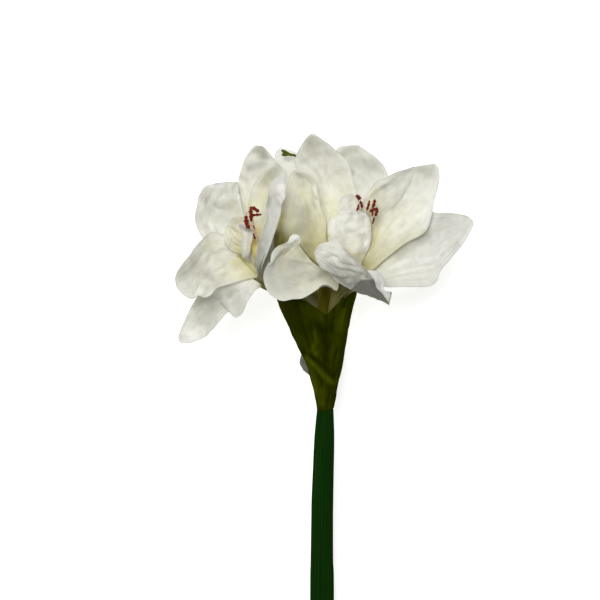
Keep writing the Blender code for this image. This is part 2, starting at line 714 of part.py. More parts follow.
def sheath(look):
    """The green sheath round the stalks, open at its top and at its foot."""
    outer, inner = sheath_grid(0.0), sheath_grid(SHEATH_THICK / MM)
    rows, cols = outer.shape[:2]
    count = rows * cols
    index = np.arange(count).reshape(rows, cols)
    after = np.roll(index, -1, axis=1)
    a, b, c, d = index[:-1].ravel(), index[1:].ravel(), after[1:].ravel(), after[:-1].ravel()
    skin = np.concatenate([np.stack([a, b, c], 1), np.stack([a, c, d], 1)])
    faces = [skin, skin[:, ::-1] + count]
    for row in (0, rows - 1):
        p, q = index[row], after[row]
        faces.append(np.stack([p, q, q + count], 1))
        faces.append(np.stack([p, q + count, p + count], 1))
    points = np.concatenate([outer.reshape(-1, 3), inner.reshape(-1, 3)])
    return finish(thing_from("spathe", (points, np.concatenate(faces))), look)


def set_on_origin(bodies):
    """Moves all bodies so that the origin is below the middle of their box, at its lowest height."""
    corners = np.concatenate([
        np.array([v.co[:] for v in body.data.vertices]) for body in bodies
    ])
    low, high = corners.min(axis=0), corners.max(axis=0)
    shift = np.array([(low[0] + high[0]) / 2, (low[1] + high[1]) / 2, low[2]])
    for body in bodies:
        points = np.array([v.co[:] for v in body.data.vertices]) - shift
        body.data.vertices.foreach_set("co", points.ravel())
        body.data.update()


def build():
    """All bodies of the flower."""
    clear_scene()
    petal = material("petal", PETAL_WHITE, 0.6)
    red = material("stamen", STAMEN_RED, 0.7)
    olive = material("pistil", PISTIL_GREEN, 0.6)
    green = material("stem", STEM_GREEN, 0.55)
    leafy = material("spathe", SHEATH_GREEN, 0.55)
    bodies = [
        stem(green),
        sheath(leafy),
        perianth("left", LEFT_PETALS, LEFT_RUFFLES, petal),
        perianth("right", RIGHT_PETALS, RIGHT_RUFFLES, petal),
        perianth("back", BACK_PETALS, {}, petal, across=UNDER_ACROSS),
        stamens("left", LEFT_STAMENS, red),
        stamens("right", RIGHT_STAMENS, red),
        stamens("back", BACK_STAMENS, red, shift=BACK_PAD_SHIFT),
        pistil(olive),
    ]
    set_on_origin(bodies)


build()
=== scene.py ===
"""Looks of a cut amaryllis that lies on its side: petals, throats, stamens, pistil, sheath and stem.

Metres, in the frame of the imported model. Shapes are laid out on a flat grid: steps right, steps down
and a height in millimetres, as seen from a point straight above the grid's middle.
"""

import math

import bpy
import numpy as np
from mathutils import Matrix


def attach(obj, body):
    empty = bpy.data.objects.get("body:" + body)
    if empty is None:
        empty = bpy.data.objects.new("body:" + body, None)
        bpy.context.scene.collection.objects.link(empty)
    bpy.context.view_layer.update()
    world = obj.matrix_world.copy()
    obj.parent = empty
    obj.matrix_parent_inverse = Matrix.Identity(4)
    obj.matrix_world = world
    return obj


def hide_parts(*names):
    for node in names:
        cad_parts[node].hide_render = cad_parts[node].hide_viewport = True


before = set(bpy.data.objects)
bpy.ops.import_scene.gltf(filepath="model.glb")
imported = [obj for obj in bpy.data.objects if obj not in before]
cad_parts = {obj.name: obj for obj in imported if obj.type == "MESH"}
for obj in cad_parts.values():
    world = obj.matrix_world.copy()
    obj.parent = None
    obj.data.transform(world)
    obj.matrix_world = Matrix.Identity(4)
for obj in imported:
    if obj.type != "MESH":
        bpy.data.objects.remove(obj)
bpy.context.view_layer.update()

# Layout grid: metres for one step at the blooms' height, and where its middle lies in the frame
STEP = 0.00085
MIDDLE = 300.0
VIEW_HEIGHT = 1.6
LAYOUT_HEIGHT = 0.08
MIDDLE_AT = np.array([-0.0227, 0.15409])
MM = 0.001
PICTURE_WIDTH = 600

# Corners round each kind of rod, and divisions from one of its points to the next
ROUND = {"stem": 120, "stalk": 32, "tube": 72, "pad": 28, "filament": 12, "pollen": 20, "pistil": 24}
PARTS = {"stem": 44, "stalk": 8, "stalk_end": 3, "tube": 14, "filament": 12, "pollen": 14, "pistil": 12}

# Stem: grid steps down its axis, grid steps right, radius in millimetres
STEM_LINE = (
    (806, 321.5, 10.5),
    (599, 322.05, 10.5),
    (560, 321.9, 10.0),
    (520, 322.15, 9.8),
    (500, 322.4, 9.7),
    (470, 323.3, 9.2),
    (440, 324.25, 8.8),
    (422, 324.8, 8.1),
    (410.6, 325.2, 7.45),
    (406.8, 325.35, 6.8),
)
STEM_END_HEIGHT = 10.43
STEM_RISE = 0.102
# Ribs of its skin: count round it, height in mm, start. How far they lie under the solid's skin in
# mm, and slow swellings: height in mm, rings to a radian, how much they lag round the stem
STEM_RIBS = ((26, 0.05, 0.0), (61, 0.03, 1.0))
STEM_SINK = 0.18
STEM_SWELL = (0.10, 31.0, 2.0)
# The neck inside the sheath: its radius in mm and its points down the grid
NECK_RADIUS = 6.1
NECK_DOWN = (412, 400, 380, 352)

# Flower stalks inside the sheath: points (right, down, height) from the stem's neck up
STALK_RADIUS = 4.6
STALKS = {
    "left": ((324, 362, 57), (319, 348, 63), (314, 334, 67)),
    "right": ((326, 362, 57), (329, 348, 63), (332, 334, 68)),
    "back": ((325, 362, 56), (324, 348, 52), (323, 334, 50)),
}
# Gap in mm between pieces that meet end to end
SEAT_GAP = 0.3

# Tube of each bloom above its stalk: centre points (right, down, height) and radius in millimetres
TUBES = {
    "left": ((310, 318, 69, 4.8), (301, 301, 72, 5.2), (286, 288, 76, 6.2),
             (270, 282.6, 79, 7.2), (260, 273, 86, 8.2)),
    "right": ((333, 318, 70, 4.8), (335, 304, 74, 5.0), (340, 291, 79, 5.8),
              (352, 277, 87, 9.0)),
    "back": ((323, 312, 49, 5.0), (325, 292, 53, 5.4), (325, 279, 54, 6.6),
             (325, 266, 44, 9.0)),
}
# Height in mm of the straight lip under the throat's floor
TUBE_LIP = 3.0
# Its lobes and fine ribs at full height: count round it, height in mm
TUBE_LOBES = ((6, 0.35), (24, 0.10))
# How grey its cloth is at its foot, and how much greyer at its throat
TUBE_GREY = {"left": (0.3, 0.7), "right": (0.6, 0.4), "back": (0.0, 0.6)}
# The way each bloom faces: right, up the layout, and height
FACINGS = {
    "left": (-0.35, 0.68, 0.64),
    "right": (0.15, 0.72, 0.68),
    "back": (0.0, 0.42, -0.91),
}

# Where petals and the small curled ones leave the throat: radius of the ring they stand on and half
# their width there and at the root, all in mm. Then how many rows and columns their surface has
PETAL_FORM = dict(rim_ring=8.0, rim_half=5.4, root_half=3.4, lines=110, across=60)
RUFFLE_FORM = dict(rim_ring=6.2, rim_half=2.4, root_half=1.8, lines=72, across=44)
# A petal's root: how far under the throat's floor it lies and the radius of its ring, in mm
ROOT_DEPTH = 6.0
ROOT_RING = 5.2
# Thickness of the cloth in mm, and the share by which it thins towards its edges and its tip
PETAL_THICK = 0.6
EDGE_THINNING = 0.6
TIP_THINNING = 0.5
# Share of the columns' places that crowds towards the edges, and roundness of a creased rib
EDGE_CROWD = 0.45
RIB_ROUND = 0.004
# Waves of the two edges: how far they are out of step, and how suddenly across the rib
WAVE_SHIFT = 0.17
WAVE_TURN = 9
# Small forms fade over a share of a petal's length at its root and its tip, kinks at its root only,
# and ribs and dents where the petal is narrower than a width in mm
ROOT_FADE = 0.3
TIP_FADE = 0.12
KINK_FADE = 0.2
RIB_WIDTH = 12
DENT_WIDTH = 30
# Soft dents: length and height in mm of the waves they are made of
DENT_WAVES = ((34, 0.5), (17, 0.32), (9, 0.15), (5, 0.04))
# Width in steps of the border of a crisp patch, to each side
PATCH_BORDER = 0.35
# Length in mm that one step of a UV pair covers along a petal or a rod
UV_SPAN = 100
# Width in mm of the thin line of painted shade along a petal's cut edge
EDGE_SHADE_WIDTH = 0.9
# Tints of the petal cloth. Cream, yellow-green, ochre and olive are the throat's own colours; olive is
# also laid as painted shade in deep hollows and along shaded borders. The whiter tint is painted light,
# laid where light falls, and the two greys are painted shade at tips, in folds, on undersides and under
# neighbouring petals
TINTS = {"white": "#fbfbf4", "cream": "#e0daa6", "leafy": "#c8c264", "ochre": "#efdc94",
         "olive": "#726e2e", "grey": "#a9a9a1", "dusk": "#6c6c62"}

# Corners of the patches of painted shade on the folded near petal's underside and on the crest's low
# right side
UNDERSIDE_SHADE = ((351, 289), (356, 283.4), (361, 280), (371, 278.9), (392, 278), (393, 309),
             (377, 304), (354, 297))
CREST_SIDE_SHADE = ((350.6, 250.6), (360, 251), (371, 245.4), (368, 270), (352, 270))

# Petals, as far as they differ from a plain one.
# rows: one edge point, the other edge point, both as (right, down, height), and how far the rib lies
# below the line between them, in mm; they run from the throat to the tip.
# rooted: whether it grows out of the throat or only lies on the petal beside it.
# fold: 0 for a round cross-section, 1 for a sharp crease. wave: height in mm, count, start.
# ribs: count and depth in mm. dents: share of the full height of the soft dents.
# crumple: length and depth in mm of pressed-in kinks.
# creases: a line of layout points, its width in steps and its height in mm. folds: the same, sharp.
# mounds: middle, reach right and down in steps, height in mm. lifts: the same, straight up.
# cream, leafy: how strong a tint and how far in mm it reaches from the throat.
# dyes: which tint, a line of layout points, its reach in steps, its strength, and 4 where its
# border is crisp. patches: which tint, the corners of a crisp area, its strength.
# edge shade: how strongly a thin line of painted shade darkens the cut edge.
PLAIN = dict(rooted=True, fold=0.3, wave=(0.0, 1.0, 0.0), ribs=(9, 0.2), dents=1.0, crumple=(10, 0.0),
             creases=(), folds=(), mounds=(), lifts=(), cream=(0.15, 35), leafy=(0.6, 16), dyes=(),
             patches=(), painted_edge_shade=0.28)

# The left bloom's petals. Their dyes of the whiter tint are painted light, their two greys are painted
# shade, and their olive in hollows and along borders is painted shade over the throat's own olive
LEFT_PETALS = {
    "upper_left": dict(wave=(1.0, 2.0, 0.3), cream=(0.10, 30), leafy=(0.5, 14),
                       crumple=(11, 0.25), rows=(
        (226, 256, 90, 250, 240, 88, 5),
        (205, 243, 92, 243.5, 214, 86, 6),
        (195, 221, 93, 240.5, 197, 84, 4),
        (196.8, 201, 93, 237.6, 182.4, 82, 1),
        (202.3, 189, 91, 227, 181.9, 85, 0),
        (206.5, 185.4, 90, 215, 183.2, 88, 0),
    ), creases=(
        (((200, 193), (208, 200.5), (216.6, 209), (228, 210)), 3.6, -1.5),
        (((218, 193), (214, 202)), 3.0, 0.8),
        (((229, 190), (236, 200)), 3.0, 0.9),
        (((220, 186), (226, 197)), 3.0, -0.9),
        (((206, 222), (222, 229)), 4.5, -0.7),
    ), mounds=(((200, 204), (5, 5), 1.0), ((216, 187), (9, 4), 1.2)), dyes=(
        ("grey", ((203, 195), (211, 202), (221, 208), (232, 204)), 6.5, 0.42),
        ("white", ((203, 212), (210, 218)), 8, 0.5),
        ("grey", ((226, 190), (236, 186)), 5, 0.3),
        ("grey", ((241, 183), (240, 192)), 2.6, 0.9),
        ("grey", ((212, 214), (226, 212)), 12, 0.3),
        ("leafy", ((233, 206), (238, 218)), 7, 0.18),
    )),
    "top": dict(fold=0.35, wave=(1.0, 1.6, 0.1), cream=(0.5, 58), leafy=(0.5, 16), rows=(
        (247, 236, 80, 262, 236, 82, 3),
        (242, 208, 77, 268, 206, 80, 5),
        (238, 184, 74, 275, 180, 77, 5),
        (242.5, 164, 70, 275, 163, 73, 4),
        (248.2, 152.6, 67, 269, 152.4, 69, 2),
        (252.3, 147.6, 66.5, 265.4, 147.8, 67, 0.5),
        (256.5, 145.6, 66, 261.5, 145.5, 66, 0),
    ), creases=(
        (((249, 153), (254, 149), (257, 146)), 2.0, 1.0),
    ), mounds=(
        ((258, 166), (10, 5), 1.0),
        ((247, 180), (7, 7), 1.6),
        ((243, 200), (5, 7), 1.4),
    ), lifts=(((260, 146), (13, 12), 7.0),), dyes=(
        ("grey", ((261, 149), (264, 156)), 7, 0.75),
        ("grey", ((249, 168), (256, 166), (262, 164)), 6, 0.6),
        ("grey", ((241, 177), (246, 180)), 3.5, 0.5),
        ("grey", ((246, 168), (262, 172)), 12, 0.2),
    )),
    "top_right": dict(wave=(0.6, 1.5, 0.7), cream=(0.75, 60), leafy=(0.7, 18), rows=(
        (257, 268, 80, 261, 269, 80, 0),
        (254, 262.5, 86, 261.5, 264, 87, 0),
        (251.6, 256, 92.5, 261.5, 259.5, 94, 0.5),
        (250, 247, 97, 262.5, 253, 98, 1.5),
        (250.4, 236, 95, 264, 244, 98, 3),
        (247.5, 211, 88, 271, 216, 96, 5),
        (252, 189, 83, 279, 195, 95, 6),
        (264, 171, 84, 285, 180, 96, 4),
        (271, 164, 86, 285, 173, 92, 1),
        (276, 162.6, 88, 280, 165, 89, 0),
    ), creases=(
        (((252, 193), (260, 181), (268, 170.5), (274, 166)), 2.6, 1.2),
        (((262, 214), (258, 222), (256, 232)), 2.0, -0.6),
    ), lifts=(((278, 162), (9, 12), 4.0),), dyes=(
        ("grey", ((279, 168), (272, 174), (265, 182)), 7, 0.5),
        ("ochre", ((256, 234), (255, 240), (254, 252)), 6.5, 0.9),
        ("white", ((257, 212), (259, 226)), 8, 0.7),
        ("cream", ((246, 200), (250, 226)), 8, 0.8),
        ("cream", ((268, 180), (262, 204)), 12, 0.5),
    )),
    "near": dict(fold=0.2, wave=(0.3, 1.5, 0.0), cream=(0.0, 20), leafy=(0.25, 10),
                 rooted=False, rows=(
        (260.5, 283, 86, 262, 283.5, 86, 0),
        (258.6, 278, 91, 261, 279, 90, 0),
        (257.4, 272, 96, 260.6, 272.5, 94, 0.5),
        (256.9, 262, 103, 263.8, 263, 99, 1),
        (257.2, 252, 107, 267.8, 253, 104, 2),
        (259.3, 243, 110, 271.4, 243.5, 108, 2.5),
        (262.2, 231.5, 112, 275, 232, 111, 2),
        (266.8, 220, 113.5, 278.8, 221, 112, 2.5),
        (266.8, 206, 115, 282.8, 205.6, 114, 2.5),
        (267.6, 196, 116, 285.4, 194, 115, 2.5),
        (269.5, 187, 116.5, 285.6, 185, 113, 0),
        (271.6, 181.4, 116, 285.4, 179.6, 112, -1.5),
        (275, 178.2, 115, 285, 177.4, 112, -1),
        (277.5, 177.6, 115, 283.5, 177, 113, 0),
    ), creases=(
        (((269, 186), (275, 193.5), (280, 200), (284, 208)), 2.2, 1.8),
        (((274, 179), (279, 188), (285, 198)), 2.6, -1.2),
        (((268, 205), (270, 215), (267, 228)), 2.6, -0.9),
        (((276, 214), (272, 226), (268, 240)), 2.4, 0.7),
        (((262, 240), (260, 255), (258, 268)), 2.6, -0.6),
    ), dyes=(
        ("grey", ((269, 198), (268, 206)), 3.4, 0.6),
        ("grey", ((275, 196), (276, 206)), 3.6, 0.35),
        ("grey", ((272, 206), (273, 218), (268, 232), (263, 246)), 6, 0.3),
        ("grey", ((262, 250), (260.5, 262), (258, 272)), 5, 0.6),
        ("dusk", ((258, 270), (260, 284)), 3, 0.5),
        ("white", ((276, 187), (282, 186)), 4, 0.8),
    )),
    "near_edge": dict(fold=0.1, cream=(0.0, 20), leafy=(0.2, 10), dents=0.6,
                      rooted=False, painted_edge_shade=0.3, rows=(
        (261, 283, 86, 265, 282, 84, 0),
        (258.4, 277.6, 92.5, 264.4, 277, 90, 1),
        (258.6, 271, 97.2, 265.4, 270.5, 93, 1.5),
        (260.6, 264, 99.8, 267.8, 263, 95, 1.5),
        (263.4, 257, 102, 270.6, 256.5, 98.5, 1),
        (266.4, 251, 103.5, 272.6, 250.6, 101, 0.5),
        (268.6, 244.6, 104.5, 273.4, 244.6, 102.5, 0),
        (270, 239, 105, 273.6, 239.4, 104, 0),
    ), dyes=(
        # Painted shade: this strip lies in the shadow of the petals beside it
        ("dusk", ((263, 282), (262, 271), (268, 257), (275, 236)), 12, 0.6),
        ("olive", ((263, 282), (263, 270), (270, 252)), 8, 0.75),
        ("grey", ((259, 276), (260, 266)), 1.8, 0.8),
    )),
    "low_left": dict(wave=(0.5, 2.6, 0.2), cream=(0.3, 50), leafy=(0.5, 20),
                     rooted=False, dents=0.55, rows=(
        (260, 262, 84, 261, 278, 82, 0),
        (254, 255.5, 93, 257.6, 277.8, 88.5, 2),
        (244, 249, 97, 248, 279.3, 92, 3.5),
        (226, 236, 102, 231, 284.3, 97.5, 4.5),
        (212, 232.6, 106, 217, 288.6, 105, 6),
        (203.4, 238, 109, 210.5, 295.5, 108, 6.5),
        (195.4, 245, 112, 203.5, 298.2, 111, 7),
        (189.6, 253.5, 115, 198, 297, 113, 6.5),
        (182.6, 262, 117.5, 191, 298.9, 115.5, 5),
        (177.8, 270, 118.5, 183, 295.2, 117.5, 3),
        (175.3, 276, 118.5, 177, 288, 118, 1),
        (174.9, 279.3, 118, 175.4, 283, 118, 0),
    ), creases=(
        (((223, 272), (213, 280.5), (204, 289), (199, 297)), 3.6, 1.8),
        (((240, 255), (249, 265.5), (256, 273)), 1.4, -0.8),
        (((217, 250), (222, 247), (230, 248), (239, 254)), 2.4, 0.9),
        (((209, 286), (211, 292)), 2.4, -0.4),
    ), folds=(
        (((225, 267), (214, 273), (208, 278), (200, 286), (195.6, 294), (195, 298)), 2.4, -1.7),
    ), mounds=(((188, 268), (9, 12), 1.6),), dyes=(
        ("white", ((226, 244), (240, 256), (246, 266), (236, 276)), 12, 1.0),
        ("olive", ((240, 256), (247, 264.5), (256, 274)), 1.3, 0.15),
        ("leafy", ((239, 256), (247, 264.5), (256, 273)), 2.2, 0.9),
        ("leafy", ((236, 263), (246, 270), (255, 275)), 5.5, 0.42),
        ("dusk", ((243, 256.5), (250, 261), (256.6, 266.5)), 2.6, 0.3),
        ("cream", ((234, 254), (244, 264)), 6, 0.3),
        ("cream", ((245, 254), (253, 264)), 4, 0.6),
        ("grey", ((181, 272), (192, 262)), 9, 0.4),
        ("grey", ((204, 273), (213, 279)), 5, 0.55),
        ("grey", ((206, 287), (216, 285)), 5, 0.3),
        ("white", ((199, 292), (208, 291)), 3.5, 0.6),
        ("leafy", ((206, 240), (214, 246)), 8, 0.14),
    )),
    "low": dict(wave=(0.4, 2.2, 0.6), cream=(0.0, 30), leafy=(0.3, 12), rooted=False,
                rows=(
        (263, 276, 82, 265, 283, 80, 0),
        (257.6, 276.4, 86.5, 261, 286.8, 88.5, -0.5),
        (248.6, 277, 89, 255.4, 290.5, 91, 0.5),
        (235, 280, 93.5, 248.8, 300, 92, 1.5),
        (222, 284.5, 96, 243, 312.5, 91, 3),
        (213, 289, 96, 235, 317.4, 90, 3.5),
        (205, 292, 95.5, 228.8, 311.8, 89, 4),
        (198.5, 295, 91, 222.5, 318.6, 90, 4),
        (193.6, 302.5, 91.5, 216.5, 326, 91, 4),
        (188.2, 310, 92, 211, 331.8, 91, 4),
        (184, 321.4, 91, 205.5, 336.4, 90, 3),
        (181, 330, 90, 197.5, 340.6, 89, 2),
        (178.3, 336, 88, 189, 343.3, 87, 1),
        (179.1, 341.3, 87, 182, 343.4, 86.5, 0),
    ), creases=(
        (((229, 313), (229, 305), (234, 292)), 3.0, -0.5),
        (((240, 306), (241, 298), (246, 290)), 2.0, 0.6),
        (((218, 300), (210, 312), (204, 326), (203, 338)), 5.0, -1.6),
        (((226, 316), (217, 325), (208, 333)), 2.0, 0.8),
    ), mounds=(((193, 318), (7, 14), 1.4),), dyes=(
        ("white", ((230, 286), (240, 283), (252, 280.6)), 5, 0.4),
        ("olive", ((262, 287), (266, 284)), 3.4, 0.7),
        ("grey", ((222, 304), (212, 312), (207, 322)), 9, 0.5),
        ("grey", ((232, 294), (240, 306)), 8, 0.42),
        ("white", ((186, 328), (190, 338)), 9, 0.7),
        ("grey", ((203, 300), (196, 306)), 4, 0.25),
    )),
}

